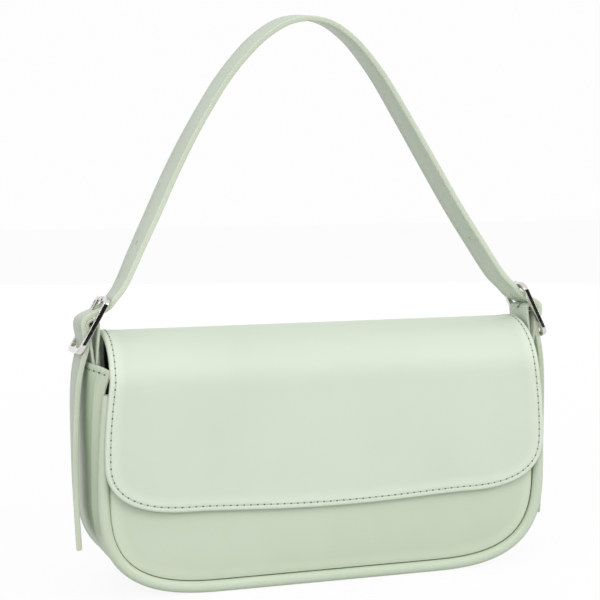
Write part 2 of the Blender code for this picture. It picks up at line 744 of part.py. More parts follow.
def build_strap(leather, pivot):
    strap = ribbon(strap_path(), STRAP_WIDTH, STRAP_THICKNESS, STRAP_EDGE, tail_turn)
    strap = add_solid("strap", strap, leather, pivot)
    side = PRONG_WIDTH / 2 + PRONG_SLOT_SIDE
    low = (CENTRE_BAR_RADIUS - SEAT_GAP, -side, PRONG_SLOT_START)
    top = CENTRE_BAR_RADIUS + PRONG_WIRE + SEAT_GAP + PRONG_SWING_ROOM
    high = (top, side, PRONG_SLOT_START + PRONG_SLOT_LENGTH)
    place, along = hole_place()
    for name, turn in (("right", 0.0), ("left", math.pi)):
        slot = box_cutter(name + "_prong_slot", low, high, pivot)
        place_on_side(slot, turn)
        combine(strap, slot, "DIFFERENCE")
        mesh_data = bmesh.new()
        radius = STRAP_HOLE_DIAMETER / 2
        bmesh.ops.create_cone(mesh_data, cap_ends=True, segments=TURN_STEPS, depth=2 * OVERRUN,
                              radius1=radius, radius2=radius)
        punch = add_cutter(name + "_spare_hole", mesh_data, pivot)
        reach = math.cos(turn)
        punch.location = (place.x * reach, sway(place.y), place.y)
        punch.rotation_euler = (0, math.atan2(along.y, -along.x) * reach, 0)
        combine(strap, punch, "DIFFERENCE")


def frame_ring():
    """A flat ring with round corners, its thickness along X and its length along Z."""
    inner_width = STRAP_WIDTH + 2 * FRAME_SIDE_GAP
    mesh_data = bmesh.new()
    loops = []
    for width, length, corner in (
            (inner_width + 2 * FRAME_BAR, FRAME_LENGTH, FRAME_CORNER),
            (inner_width, FRAME_LENGTH - 2 * FRAME_BAR, FRAME_CORNER - FRAME_BAR)):
        ring = []
        for quarter in range(4):
            across = math.copysign(width / 2 - corner, math.cos(math.pi / 2 * quarter + math.pi / 4))
            up = math.copysign(length / 2 - corner, math.sin(math.pi / 2 * quarter + math.pi / 4))
            for step in range(FRAME_STEPS + 1):
                angle = math.pi / 2 * (quarter + step / FRAME_STEPS)
                ring.append((-FRAME_THICKNESS / 2, across + corner * math.cos(angle),
                             up + corner * math.sin(angle)))
        loops.append([mesh_data.verts.new(point) for point in ring])
    count = len(loops[0])
    for index in range(count):
        after = (index + 1) % count
        mesh_data.faces.new((loops[0][index], loops[0][after], loops[1][after], loops[1][index]))
    grown = bmesh.ops.extrude_face_region(mesh_data, geom=mesh_data.faces[:])["geom"]
    moved = [item for item in grown if isinstance(item, bmesh.types.BMVert)]
    bmesh.ops.translate(mesh_data, vec=(FRAME_THICKNESS, 0, 0), verts=moved)
    rims = [edge for edge in mesh_data.edges
            if abs(edge.verts[0].co.x - edge.verts[1].co.x) < SEAT_GAP
            and edge.calc_face_angle(0) > math.radians(60)]
    bmesh.ops.bevel(mesh_data, geom=rims, offset=FRAME_EDGE, segments=2, profile=0.5,
                    affect="EDGES", material=-1)
    return mesh_data


def centre_bar():
    length = STRAP_WIDTH + 2 * FRAME_SIDE_GAP + FRAME_BAR
    mesh_data = bmesh.new()
    bmesh.ops.create_cone(mesh_data, cap_ends=True, segments=2 * PIPING_SIDES, depth=length,
                          radius1=CENTRE_BAR_RADIUS, radius2=CENTRE_BAR_RADIUS)
    return mesh_data


def prong():
    """Flattened wire bent round the centre bar, its point lying on the top bar."""
    radius = CENTRE_BAR_RADIUS + SEAT_GAP + PRONG_WIRE / 2
    reach = FRAME_LENGTH / 2 + PRONG_OVERHANG
    sections = []
    for step in range(TURN_STEPS):
        angle = -PRONG_WRAP * (1 - step / TURN_STEPS)
        outward = Vector((math.cos(angle), math.sin(angle)))
        sections.append(prong_section(radius * outward, outward, PRONG_WIRE / 2, PRONG_WIDTH / 2))
    for share, taper in PRONG_SHANK_SHARES:
        width = PRONG_TIP_WIDTH + (PRONG_WIDTH - PRONG_TIP_WIDTH) * taper
        sections.append(prong_section(Vector((radius, reach * share)), Vector((1, 0)),
                                      PRONG_WIRE / 2 * math.sqrt(taper), width / 2))
    return loft(sections)


def prong_section(centre, outward, thick, wide):
    ring = []
    for side, out in ((-1, 1), (1, 1), (1, -1), (-1, -1)):
        place = centre + outward * thick * out
        ring.append(Vector((place.x, side * wide, place.y)))
    return ring


def build_buckles(metal, pivot):
    for name, turn in (("right", 0.0), ("left", math.pi)):
        frame = add_solid(name + "_buckle_frame", frame_ring(), metal, pivot)
        place_on_side(frame, turn)
        bar = add_cutter(name + "_centre_bar", centre_bar(), pivot)
        bar.location = frame.location
        bar.rotation_euler = (math.pi / 2, 0, 0)
        combine(frame, bar, "UNION")
        place_on_side(add_solid(name + "_prong", prong(), metal, pivot), turn)


def tab_path():
    """Middle line of the right tab, from one sewn end over the bar to the other."""
    radius = TAB_BEND_RADIUS + TAB_LEATHER / 2
    apart = (TAB_LEATHER + SEAT_GAP) / 2
    tongue_top = HEM_HEIGHT + TAB_TONGUE_RISE - BAR_HEIGHT
    tongue_low = tongue_top - TAB_TONGUE_RISE - TAB_TONGUE_DEPTH
    bend = []
    for step in range(TURN_STEPS + 1):
        angle = math.pi * (1 - step / TURN_STEPS)
        bend.append(Vector((BAR_X + radius * math.cos(angle), radius * math.sin(angle))))
    inner = [Vector((TAB_TONGUE_X - apart, tongue_low)), Vector((TAB_TONGUE_X - apart, tongue_top))]
    outer = [Vector((TAB_TONGUE_X + apart, tongue_top)), Vector((TAB_TONGUE_X + apart, tongue_low))]
    return inner + bend + outer


def build_tabs(leather, pivot):
    side = PRONG_WIDTH / 2 + PRONG_SLOT_SIDE
    reach = TAB_BEND_RADIUS + TAB_LEATHER + OVERRUN
    for name, turn in (("right", 0.0), ("left", math.pi)):
        path = [Vector((point.x, 0, point.y)) for point in tab_path()]
        tab = add_solid(name + "_tab", ribbon(path, TAB_WIDTH, TAB_LEATHER, SEAT_GAP), leather, pivot)
        tab.rotation_euler = (0, 0, turn)
        slot = box_cutter(name + "_tab_slot", (BAR_X - reach, -side, -TAB_SLOT_DROP),
                          (BAR_X + reach, side, reach), pivot)
        slot.rotation_euler = (0, 0, turn)
        combine(tab, slot, "DIFFERENCE")


def build():
    clear_scene()
    leather = finish_material("mint_leather", MINT, 0.45)
    lining = finish_material("black_lining", BLACK, 0.85)
    board = finish_material("grey_board", GREY, 0.9)
    metal = finish_material("polished_nickel", NICKEL, 0.12, 1.0)
    finish_material("cutter", GREY, 0.9)
    pivot = bpy.data.objects.new("strap_pivot", None)
    bpy.context.collection.objects.link(pivot)
    pivot.location = (0, STRAP_Y, BAR_HEIGHT)
    pivot.rotation_euler = (-STRAP_LEAN_BACK, 0, 0)
    build_walls(leather, board, lining, metal)
    build_gusset(leather, board, lining)
    build_flap(leather, board, leather, metal)
    build_strap(leather, pivot)
    build_buckles(metal, pivot)
    build_tabs(leather, pivot)


build()
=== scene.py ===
"""Looks of a mint green shoulder bag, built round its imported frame.

Metres, +Z up, and the front faces -Y. Each leather piece is cut flat, gets its rounded rims
and pressed seam lines on the flat, and is then bent to its place, the way a bag maker works.
On the flat, s runs across a piece, t along it, and h is the height over its face.
"""

import json
import math

import bmesh
import bpy
import numpy as np
from mathutils import Matrix, Vector


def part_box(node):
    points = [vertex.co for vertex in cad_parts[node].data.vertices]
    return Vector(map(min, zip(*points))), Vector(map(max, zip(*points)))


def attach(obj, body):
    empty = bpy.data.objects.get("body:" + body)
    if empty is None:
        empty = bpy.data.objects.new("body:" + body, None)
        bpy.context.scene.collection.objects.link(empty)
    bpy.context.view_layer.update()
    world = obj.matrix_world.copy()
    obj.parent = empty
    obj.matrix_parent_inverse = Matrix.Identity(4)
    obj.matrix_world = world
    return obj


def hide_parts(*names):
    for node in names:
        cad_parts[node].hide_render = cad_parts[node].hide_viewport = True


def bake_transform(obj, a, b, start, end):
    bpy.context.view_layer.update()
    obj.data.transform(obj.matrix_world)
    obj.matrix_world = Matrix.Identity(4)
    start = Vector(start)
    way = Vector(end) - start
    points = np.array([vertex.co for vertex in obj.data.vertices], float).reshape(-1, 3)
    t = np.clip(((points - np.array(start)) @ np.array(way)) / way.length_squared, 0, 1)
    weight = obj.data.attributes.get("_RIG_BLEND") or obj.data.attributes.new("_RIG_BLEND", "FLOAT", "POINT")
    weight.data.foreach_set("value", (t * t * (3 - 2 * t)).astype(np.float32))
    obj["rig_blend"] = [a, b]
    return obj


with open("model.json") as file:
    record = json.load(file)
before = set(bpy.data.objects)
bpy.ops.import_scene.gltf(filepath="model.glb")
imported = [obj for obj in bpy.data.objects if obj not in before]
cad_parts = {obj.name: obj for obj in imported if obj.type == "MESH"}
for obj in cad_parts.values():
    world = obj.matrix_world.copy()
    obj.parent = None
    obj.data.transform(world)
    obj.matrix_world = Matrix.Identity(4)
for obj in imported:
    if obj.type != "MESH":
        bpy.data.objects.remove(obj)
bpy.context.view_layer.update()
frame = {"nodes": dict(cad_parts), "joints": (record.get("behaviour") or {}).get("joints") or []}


def joint_place(name):
    """Where a joint of the frame lies."""
    return Vector(next(joint for joint in frame["joints"] if joint["name"] == name)["pos_m"])


# Body, repeated from the construction, with its planes read from the frame
BODY_WIDTH = 0.260
RIDGE_HEIGHT = 0.1418
WIDEST_HEIGHT = 0.0581
SHOULDER_WIDTH = 0.252
SHOULDER_HEIGHT = 0.120
HEM_HEIGHT = 0.1214
CORNER_WIDTH = 0.0726
CORNER_POWER = 2.92
LEAN_START = 0.060
LEAN_POWER = 3.0
FRONT_TOP = 0.110
BACK_TOP = 0.114
LINING_BACK_TOP = 0.134
PIPING_LOW, PIPING_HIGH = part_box("front_piping")
PIPING_RADIUS = (PIPING_HIGH.y - PIPING_LOW.y) / 2
FRONT_SEAM_Y = (PIPING_HIGH.y + PIPING_LOW.y) / 2
BACK_SEAM_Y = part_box("back_piping")[1].y - PIPING_RADIUS
SEAM_GAP = 0.0003
PANEL_INSET = 2 * PIPING_RADIUS + SEAM_GAP
LEATHER = 0.0014
PANEL_PROUD = 0.0006
PANEL_CROWN = 0.0016
PANEL_GROOVE = 0.0001
PANEL_SHIFT = 0.00025
CROWN_RISE = 0.030
STACK = 0.0042
LINING = 0.0008
CUT_ROUND_SHARE = 0.4
PANEL_ROUND = LEATHER * 0.45

# Pressed borders and cut ends, in steps of a width inwards and a rise of what lies inside
PANEL_ROLL = ((0.0008, 0.00025), (0.0018, 0.00025), (0.004, 0.0001))
PIPING_CUT = ((0.0004, 0.0002), (0.0009, -0.0001), (0.0002, -0.0006))
STRAP_CREASE = ((0.0004, 0.0), (0.0003, -0.00015), (0.0002, 0.0), (0.0003, 0.00015))

# Gusset
GUSSET_EDGE = PIPING_RADIUS + SEAM_GAP
RIM_RECESS = 0.0010
RIM_RISE = 0.0013
SIDE_BULGE = 0.0024
SIDE_BULGE_HEIGHT = 0.050
RIM_WIDTH = 0.0062
RIM_SLOPE = 0.0020
CREASE = 0.0008
GUSSET_RECESS = 0.0016
GUSSET_BULGE = 0.0056
CURL_START = 0.1100
CURL_INWARD = 0.0013
CURL_FORWARD = 0.0055
CURL_WIDTH = 0.0140
HEM_RAISE = 0.0019
TAB_PULL = 0.0020
FLAT_SHARE = 0.30
LINING_RECESS = 0.0068
LINING_BULGE = 0.0019
LINING_DROP = 0.0015
HEM_THICKNESS = 0.0018

# Flap
FLAP_FRONT_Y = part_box("flap_front")[0].y
RIDGE_SETBACK = 0.0322
RIDGE_Y = FLAP_FRONT_Y + RIDGE_SETBACK
FLAP_BEND_START = 0.112
BACK_STANDOFF = 0.0047
BACK_SEAM_HEIGHT = 0.104
FLAP_TOP_WIDTH = 0.2472
FLAP_TOP_WIDTH_HEIGHT = 0.118
FLAP_RIDGE_WIDTH = 0.2452
FLAP_BACK_WIDTH = 0.230
FLAP_WIDTH = 0.2539
FLAP_WIDEST_HEIGHT = 0.0762
FLAP_CORNER_WIDTH = 0.049
FLAP_CORNER_POWER = 2.6
FLAP_CORNER_END = 0.0461
FLAP_BOW = 0.0025
FLAP_THICKNESS = 0.0032
FLAP_COVER = 0.0011
FLAP_LINING = 0.0007
FLAP_PUFF = 0.0004
FLAP_PUFF_WIDTHS = (0.0015, 0.004)
FLAP_TURNED_EDGE = 0.0020
FLAP_RECESS_WIDTHS = (0.0004, 0.0003)
FLAP_LINING_MARGIN = 0.0028
FLAP_LINING_SEAT = 0.0002
# How far past the ridge the black cloth of painted shade reaches under the flap
PAINTED_SHADE_REACH = 0.0075
RIM_ROUND = 0.0011
BLEND_REACH = 0.007

# Stitching
STITCH_INSET = 0.0028
STITCH_PITCH = 0.0038
THREAD_LENGTH = 0.0024
THREAD_WIDTH = 0.00055
HOLE_LENGTH = 0.0013
HOLE_WIDTH = 0.00085
GROOVE_DEPTH = 0.00022
GROOVE_REACH = 1.5 * THREAD_WIDTH

# Lining and slip pocket
LINING_SAG = 0.0006
FRONT_FOLDS = 6
BACK_FOLDS = 5
WEAVE_SPACING = 0.0005
POCKET_WIDTH = 0.150
POCKET_BOTTOM = 0.030
POCKET_TOP = 0.100
POCKET_GAP = 0.0012

# Strap, along its middle line, and its tabs
STRAP_WIDTH = 0.0230
STRAP_THICKNESS = 0.0030
STRAP_ROUND = 0.0007
STRAP_RISE = 0.1555
STRAP_LEAN_BACK = math.radians(3.5)
STRAP_SWAY = 0.0166
STRAP_SWAY_SHARE = 1.2
TAIL_DROP = 0.1033
TAIL_BOW = 0.0050
LEFT_TAIL_TWIST = math.radians(10.5)
RIGHT_TAIL_TWIST = math.radians(22.0)
RIGHT_TAIL_TUCK = 0.0012
TOP_ROLL = math.radians(9.3)
TOP_ROLL_POWER = 4
LEFT_LEG_ROLL = math.radians(4.5)
LEG_ROLL_POWER = 0.7
ARCH_SHARES = (
    (0.937, 0.057), (0.852, 0.175), (0.759, 0.3055), (0.670, 0.436), (0.575, 0.567),
    (0.488, 0.6775), (0.405, 0.7755), (0.317, 0.860), (0.225, 0.930), (0.115, 0.983), (0.0, 1.0))
TAIL_SHARES = ((0.76, 1.0), (0.95, 0.78), (1.0, 0.55), (0.84, 0.26), (0.50, 0.10))
SPARE_HOLE_RADIUS = 0.0013
SPARE_HOLE_DISTANCE = 0.0375
PRONG_HOLE_START = 0.002
PRONG_HOLE_LENGTH = 0.008
PRONG_HOLE_WIDTH = 0.0038
TAB_WIDTH = 0.0228
TAB_LEATHER = 0.0014
TAB_ROUND = TAB_LEATHER * 0.35
TAB_BEND_RADIUS = 0.0023
TAB_TONGUE_X = 0.1277
TAB_LEAN_IN = 0.0037
TAB_TONGUE_DEPTH = 0.010
TAB_TONGUE_RISE = 0.003
TAB_SLOT_DROP = 0.0045

# Buckles
SIDES = (("right", 1.0), ("left", -1.0))
BAR_X = 0.1285
PIVOT = joint_place("strap_swing")
BUCKLE_LEAN = math.radians(30.0)
RIGHT_LEAN_EASE = math.radians(5.0)
FRAME_LENGTH = 0.034
FRAME_SIDE_GAP = 0.0010
FRAME_BAR = 0.0030
FRAME_THICKNESS = 0.0028
FRAME_CORNER = 0.0055
RING_THICKNESS = 0.0026
FRAME_ROUND = 0.00028
CENTRE_BAR_RADIUS = 0.0014
PRONG_WIRE = 0.0012
PRONG_WIDTH = 0.0026
PRONG_TIP_WIDTH = 0.0018
PRONG_OVERHANG = -0.0003
PRONG_WRAP = math.radians(280.0)
PRONG_SHANK_SHARES = ((0.0, 1.0), (0.45, 1.0), (0.80, 0.85), (0.95, 0.62), (1.0, 0.30))
WIRE_SQUARENESS = 0.7

FRAME_HALF_PITCH = (FRAME_LENGTH - FRAME_BAR) / 2
STRAP_UNDER = FRAME_THICKNESS / 2 + 2 * SEAM_GAP + STRAP_THICKNESS / 2
STRAP_OVER = TAB_BEND_RADIUS + TAB_LEATHER + SEAM_GAP + STRAP_THICKNESS / 2
WAVE_POWER = 0.85

# How finely the pieces are cut
WELD = 0.00001
FINE_STEP = 0.0012
BEND_STEP = 0.0030
PANEL_STEP = 0.0080
CORNER_STEPS = 32
SIDE_STEPS = 20
TURN_STEPS = 24
ROUND_STEPS = 3
FLAP_ROUND_STEPS = 4
BEAD_SIDES = 8
BEAD_RINGS = 4
TAB_STEPS = 2
ARCH_STEPS = 4
TAIL_STEPS = 3
WAVE_STEPS = 6
WIRE_SIDES = 12
FRAME_CORNER_STEPS = 12
FRAME_ROUND_STEPS = 5
SHARP_ANGLE = math.radians(42.0)

# Camera, solved from the outlines in the photograph, in its 600 x 600 frame
IMAGE_PIXELS = 600
FOCAL_PIXELS = 1604.684
SENSOR_WIDTH = 36.0
CAMERA_PLACE = Vector((-0.296997, -0.847002, 0.237393))
CAMERA_YAW = 0.329
CAMERA_DIP = 0.093
CAMERA_ROLL = -0.002

# Studio: lamps with their place, watts and whether mirrors see them, and cards with their
# size, place, turn and whether they darken what faces them
FLOOR_HALF_WIDTH = 4.0
FLOOR_GLOW = 0.91
WORLD_STRENGTHS = (0.66, 0.985)
SOFTBOX_SIZE = 1.0
SOFTBOXES = (
    ("key_softbox", (-0.4, -1.4, 1.2), 7.5, True),
    ("left_softbox", (-1.2, -1.3, 0.5), 5.0, True),
    ("right_softbox", (1.3, -1.2, 0.8), 8.0, True),
    ("back_softbox", (0.5, 1.8, 0.5), 11.0, False),
)
DARK_CARDS = (
    ("front_card", (1.9, 0.7), (0.35, -1.15, 0.36), 0.0, False),
    ("left_flag", (0.30, 0.30), (-0.45, 0.22, 0.16), math.radians(62.0), True),
)


def linear(colour):
    """An sRGB hex colour as linear red, green, blue and alpha."""
    shares = [int(colour[start:start + 2], 16) / 255 for start in (1, 3, 5)]
    return (*[s / 12.92 if s <= 0.04045 else ((s + 0.055) / 1.055) ** 2.4 for s in shares], 1.0)


def fill(tree, node, sockets):
    """Give each socket of a node a value, or another node's output to link to."""
    for name, value in sockets.items():
        if isinstance(value, bpy.types.NodeSocket):
            tree.links.new(value, node.inputs[name])
        else:
            node.inputs[name].default_value = value
    return node


def add_node(tree, kind, sockets, **settings):
    """Add a shader node, with its settings and its sockets."""
    node = tree.nodes.new("ShaderNode" + kind)
    for name, value in settings.items():
        setattr(node, name, value)
    return fill(tree, node, sockets)


def noise(tree, place, scale, detail=2.0, distortion=0.0):
    """A noise at an object-space position; the higher its scale, the finer it is."""
    sockets = {"Vector": place, "Scale": scale, "Detail": detail, "Distortion": distortion}
    return add_node(tree, "TexNoise", sockets).outputs["Fac"]


def spread(tree, share, low, high, start=0.0, end=1.0):
    """Spread a share, from its start to its end, between two values."""
    sockets = {"Value": share, "From Min": start, "From Max": end, "To Min": low, "To Max": high}
    return add_node(tree, "MapRange", sockets).outputs["Result"]


def join(tree, operation, first, second):
    """A sum on two shares, such as their product or the larger one."""
    return add_node(tree, "Math", {0: first, 1: second}, operation=operation).outputs["Value"]


def blend_colours(tree, share, first, second):
    """Mix two colours, each a value or an output, and give the output."""
    return add_node(tree, "Mix", {0: share, 6: first, 7: second}, data_type="RGBA").outputs[2]


def bump(tree, height, strength, distance, **under):
    """A bumped normal, over another one if that is given."""
    sockets = {"Height": height, "Strength": strength, "Distance": distance, **under}
    return add_node(tree, "Bump", sockets).outputs["Normal"]


def start_material(name):
    """A material with its node tree, its Principled shader and an object-space position."""
    material = bpy.data.materials.new(name)
    material.use_nodes = True
    tree = material.node_tree
    place = add_node(tree, "TexCoord", {}).outputs["Object"]
    return material, tree, tree.nodes["Principled BSDF"], place


def coated_leather(name, face, deep, rim):
    """Smooth leather with a polyurethane coat: an even satin face, fine pores that only
    show in the gloss, slow drifts of tone over a hand's width, and rims painted paler: a
    painted highlight where the turned rims catch the light."""
    material, tree, shader, place = start_material(name)
    drift = spread(tree, noise(tree, place, 14.0, 3.0), 0.0, 1.0, 0.35, 0.70)
    body = blend_colours(tree, drift, linear(face), linear(deep))
    # The rim share moves the colour towards the paler rim colour: a painted highlight on the turned rims
    edge = add_node(tree, "Attribute", {}, attribute_name="rim").outputs["Fac"]
    creases = bump(tree, noise(tree, place, 45.0), 0.25, 0.0008)
    pores = add_node(tree, "TexVoronoi", {"Vector": place, "Scale": 1500.0}, feature="SMOOTH_F1")
    fill(tree, shader, {
        "Base Color": blend_colours(tree, join(tree, "MULTIPLY", edge, 0.75), body, linear(rim)),
        "Roughness": spread(tree, noise(tree, place, 520.0, 4.0), 0.36, 0.50),
        "Normal": bump(tree, pores.outputs["Distance"], 0.05, 0.00012, Normal=creases),
        "IOR": 1.48, "Coat Weight": 0.06, "Coat Roughness": 0.35})
    return material


def edge_paint(name, light, deep):
    """Rubbery edge paint over the cut layers of the strap: smoother and yellower than the
    face, with low beads that show in its gloss."""
    material, tree, shader, place = start_material(name)
    beads = noise(tree, place, 700.0)
    fill(tree, shader, {
        "Base Color": blend_colours(tree, noise(tree, place, 30.0), linear(light), linear(deep)),
        "Roughness": spread(tree, beads, 0.36, 0.46),
        "Normal": bump(tree, beads, 0.06, 0.0001), "IOR": 1.5})
    return material


def woven_lining(name, deep, light):
    """Black polyester lining in plain weave: matt, with threads 0.5 mm apart and a soft
    bloom of loose fibres, drawn a little coarse so that the weave shows."""
    material, tree, shader, place = start_material(name)
    wave = {"Vector": place, "Scale": 2 * math.pi / 20 / WEAVE_SPACING}
    warp, weft = [add_node(tree, "TexWave", wave, bands_direction=way).outputs["Fac"]
                  for way in "XZ"]
    weave = join(tree, "MULTIPLY", warp, weft)
    fill(tree, shader, {
        "Base Color": blend_colours(tree, weave, linear(deep), linear(light)),
        "Normal": bump(tree, weave, 0.5, 0.0002), "Roughness": 0.88, "Sheen Weight": 0.08})
    return material


def matt_material(name, scale, detail, first, second, roughness, sheen=0.0):
    """A matt material that changes between two tones; the higher the scale, the finer."""
    material, tree, shader, place = start_material(name)
    tone = blend_colours(tree, noise(tree, place, scale, detail), linear(first), linear(second))
    fill(tree, shader, {"Base Color": tone, "Roughness": roughness, "Sheen Weight": sheen})
    return material


def plated_metal(name, rubs, low, high, first, second):
    """Plated metal: its gloss and tone follow fine rubs, which are a noise's values."""
    material, tree, shader, place = start_material(name)
    share = noise(tree, place, *rubs)
    tone = blend_colours(tree, share, linear(first), linear(second))
    fill(tree, shader, {"Base Color": tone, "Roughness": spread(tree, share, low, high),
                        "Metallic": 1.0})
    return material


# Each leather's last colour is its paler rim: a painted highlight where the turned rims catch the light
FLAP_LEATHER = coated_leather("mint_flap_leather", "#d7e2d0", "#d2decb", "#dde7d6")
# The shell's and the strap's leather are the flap's leather written a little darker: painted shade for the
# body under the flap and the strap's sideways legs
SHELL_LEATHER = coated_leather("mint_shell_leather", "#cfdbc5", "#c9d6bf", "#d6e0ca")
STRAP_LEATHER = coated_leather("mint_strap_leather", "#cdd8c6", "#c8d3c1", "#d2dccb")
STRAP_EDGE = edge_paint("mint_edge_paint", "#cfd8c3", "#c3ceb6")
# Black lining cloth: the lining bag's own colour; under the flap's ridge it is a painted shade
LINING_CLOTH = woven_lining("black_woven_lining", "#0c0d0d", "#222425")
# Bonded polyester thread: a satin twist with small changes of tone from stitch to stitch
MINT_THREAD = matt_material("mint_bonded_thread", 1800.0, 2.0, "#c3d0b6", "#a9b99c", 0.55, 0.2)
# Needle holes: dark, matt beads that paint the shade inside each hole
HOLE_SHADE = matt_material("needle_hole_shade", 2500.0, 2.0, "#4a5845", "#6a7862", 0.95)
# Twisted cotton filler cord, seen at the piping's cut ends: off-white and fuzzy
CORD_CORE = matt_material("cotton_piping_core", 1400.0, 4.0, "#e9e6dc", "#c6c6b4", 0.9)
# Grey pressed fibre board, the hidden stiffener: matt, with flecks of pulp
BOARD = matt_material("grey_fibre_board", 600.0, 6.0, "#4f4f4c", "#8b8a84", 0.92)
# Black flocked card, which sends almost no light back
BLACK_FLOCK = matt_material("black_flock", 2000.0, 2.0, "#151515", "#151515", 0.95)
# Polished nickel on a die-cast buckle: a warm mirror with fine hairline rubs
NICKEL = plated_metal("polished_nickel_plate", (260.0, 5.0, 1.5), 0.05, 0.16, "#e2e0dc", "#cfccc6")
# Zinc-plated steel disc with fine rubs, satin rather than bright
MAGNET_STEEL = plated_metal("plated_magnet_steel", (900.0,), 0.25, 0.45, "#b9b9b6", "#b9b9b6")


def cut_flat(outline, thickness, rounding, segments=ROUND_STEPS):
    """A piece cut flat to an outline, its face at height 0, with both rims rounded over."""
    piece = bmesh.new()
    rim = piece.verts.layers.float.new("rim")
    face = piece.faces.new([piece.verts.new((s, t, 0.0)) for s, t in outline])
    back = bmesh.ops.extrude_face_region(piece, geom=[face])["geom"]
    lowered = [item for item in back if isinstance(item, bmesh.types.BMVert)]
    bmesh.ops.translate(piece, vec=(0, 0, -thickness), verts=lowered)
    bmesh.ops.recalc_face_normals(piece, faces=piece.faces)
    rims = [edge for edge in piece.edges if abs(edge.verts[0].co.z - edge.verts[1].co.z) < WELD]
    bmesh.ops.bevel(piece, geom=rims, offset=rounding, segments=segments, profile=0.5,
                    affect="EDGES", material=-1, clamp_overlap=True)
    # Every vertex starts as rim, which the leather paints paler as a painted highlight; press clears it
    # inside the borders
    for vert in piece.verts:
        vert[rim] = 1.0
    return piece


def broad_face(piece, side):
    """The widest face of a flat piece, on its outer side (1) or its inner side (-1)."""
    facing = [face for face in piece.faces if face.normal.z * side > 0.9]
    return max(facing, key=lambda face: face.calc_area())


def press(piece, side, steps):
    """Press borders into a face: each step is a width inwards and a rise of what is inside."""
    face = broad_face(piece, side)
    for width, rise in steps:
        bmesh.ops.inset_region(piece, faces=[face], thickness=width, depth=rise,
                               use_even_offset=False)
    # What lies inside the pressed borders loses the rim's painted highlight
    rim = piece.verts.layers.float["rim"]
    for vert in face.verts:
        vert[rim] = 0.0


def slice_at(piece, direction, places):
    """Cut across a flat piece at places, so that it can bend there."""
    for place in places:
        everything = piece.verts[:] + piece.edges[:] + piece.faces[:]
        bmesh.ops.bisect_plane(piece, geom=everything, dist=WELD, plane_co=direction * place,
                               plane_no=direction)


ACROSS = Vector((1, 0, 0))
ALONG = Vector((0, 1, 0))


def steps_between(low, high, step):
    """Even places strictly between two ends, about a step apart."""
    count = max(round((high - low) / step), 1)
    return [low + (high - low) * index / count for index in range(1, count)]


def bend(piece, place):
    """Move each vertex of a flat piece to where the bag has it."""
    flat = np.array([vert.co for vert in piece.verts])
    for vert, spot in zip(piece.verts, place(*flat.T)):
        vert.co = spot


def new_object(name, piece):
    """Put a bmesh into the scene as an object."""
    mesh = bpy.data.meshes.new(name)
    piece.to_mesh(mesh)
    piece.free()
    solid = bpy.data.objects.new(name, mesh)
    bpy.context.collection.objects.link(solid)
    return solid


def finish_piece(name, piece, materials, body, replaced=()):
    """Turn a bmesh into an object that rides on a body; without one it is blended later."""
    if piece.calc_volume(signed=True) < 0:
        bmesh.ops.reverse_faces(piece, faces=piece.faces)
    solid = new_object(name, piece)
    solid.data.shade_smooth()
    solid.data.set_sharp_from_angle(angle=SHARP_ANGLE)
    for material in materials:
        solid.data.materials.append(material)
    if replaced:
        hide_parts(*replaced)
    if body:
        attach(solid, body)
    return solid


def lengths_along(points):
    """Length so far at each point of a line."""
    return np.concatenate(([0.0], np.cumsum(np.linalg.norm(np.diff(points, axis=0), axis=1))))


class Run:
    """A line that leather follows: its points, the length so far, and its way on."""

    def __init__(self, points):
        self.points = np.array(points, float)
        self.marks = lengths_along(self.points)
        self.length = self.marks[-1]
        ways = np.gradient(self.points, self.marks, axis=0)
        self.ways = ways / np.linalg.norm(ways, axis=1)[:, None]

    def at(self, marks):
        """Places and directions at lengths along the line; straight on past its ends."""
        over = marks - np.clip(marks, 0.0, self.length)
        place, way = [np.stack([np.interp(marks, self.marks, column) for column in table.T], axis=1)
                      for table in (self.points, self.ways)]
        way /= np.linalg.norm(way, axis=1)[:, None]
        return place + way * over[:, None], way


def superellipse(turn, power):
    """Shares of the two half axes at a share of a quarter turn, 0 at the low end."""
    angle = math.pi / 2 * (1 - turn)
    return max(math.cos(angle), 0.0) ** (2 / power), max(math.sin(angle), 0.0) ** (2 / power)


def body_half(inset, top):
    """Right half of the body's outline, moved in square to itself, with a level top."""
    points = []
    for step in range(CORNER_STEPS + 1):
        across, down = superellipse(step / CORNER_STEPS, CORNER_POWER)
        points.append((BODY_WIDTH / 2 - CORNER_WIDTH * (1 - across), WIDEST_HEIGHT * (1 - down)))
    spread = (BODY_WIDTH - SHOULDER_WIDTH) / 2
    for step in range(1, SIDE_STEPS + 1):
        height = WIDEST_HEIGHT + (top - WIDEST_HEIGHT) * step / SIDE_STEPS
        climb = (SHOULDER_HEIGHT - height) / (SHOULDER_HEIGHT - WIDEST_HEIGHT)
        points.append((SHOULDER_WIDTH / 2 + spread * math.sin(math.pi / 2 * climb), height))
    points = np.array(points)
    way = np.gradient(points, lengths_along(points), axis=0)
    way /= np.linalg.norm(way, axis=1)[:, None]
    way[0] = (1.0, 0.0)
    moved = points - inset * np.stack((way[:, 1], -way[:, 0]), axis=1)
    moved[-1, 1] = top
    return moved


def body_band(inset, top):
    """The whole U of the body's outline, from its left top to its right top."""
    right = body_half(inset, top)
    left = right[::-1] * (-1, 1)
    width = right[0, 0]
    base = [(x, inset) for x in steps_between(-width, width, PANEL_STEP)]
    return np.concatenate((left, base, right))


def back_seam_y(height):
    """The back leans forward over its upper half, towards the flap's ridge."""
    rise = np.clip((height - LEAN_START) / (RIDGE_HEIGHT - LEAN_START), 0.0, 1.0)
    return RIDGE_Y + (BACK_SEAM_Y - RIDGE_Y) * np.sqrt(1 - rise ** LEAN_POWER)


PANEL_STATIONS = body_half(PANEL_INSET, SHOULDER_HEIGHT)


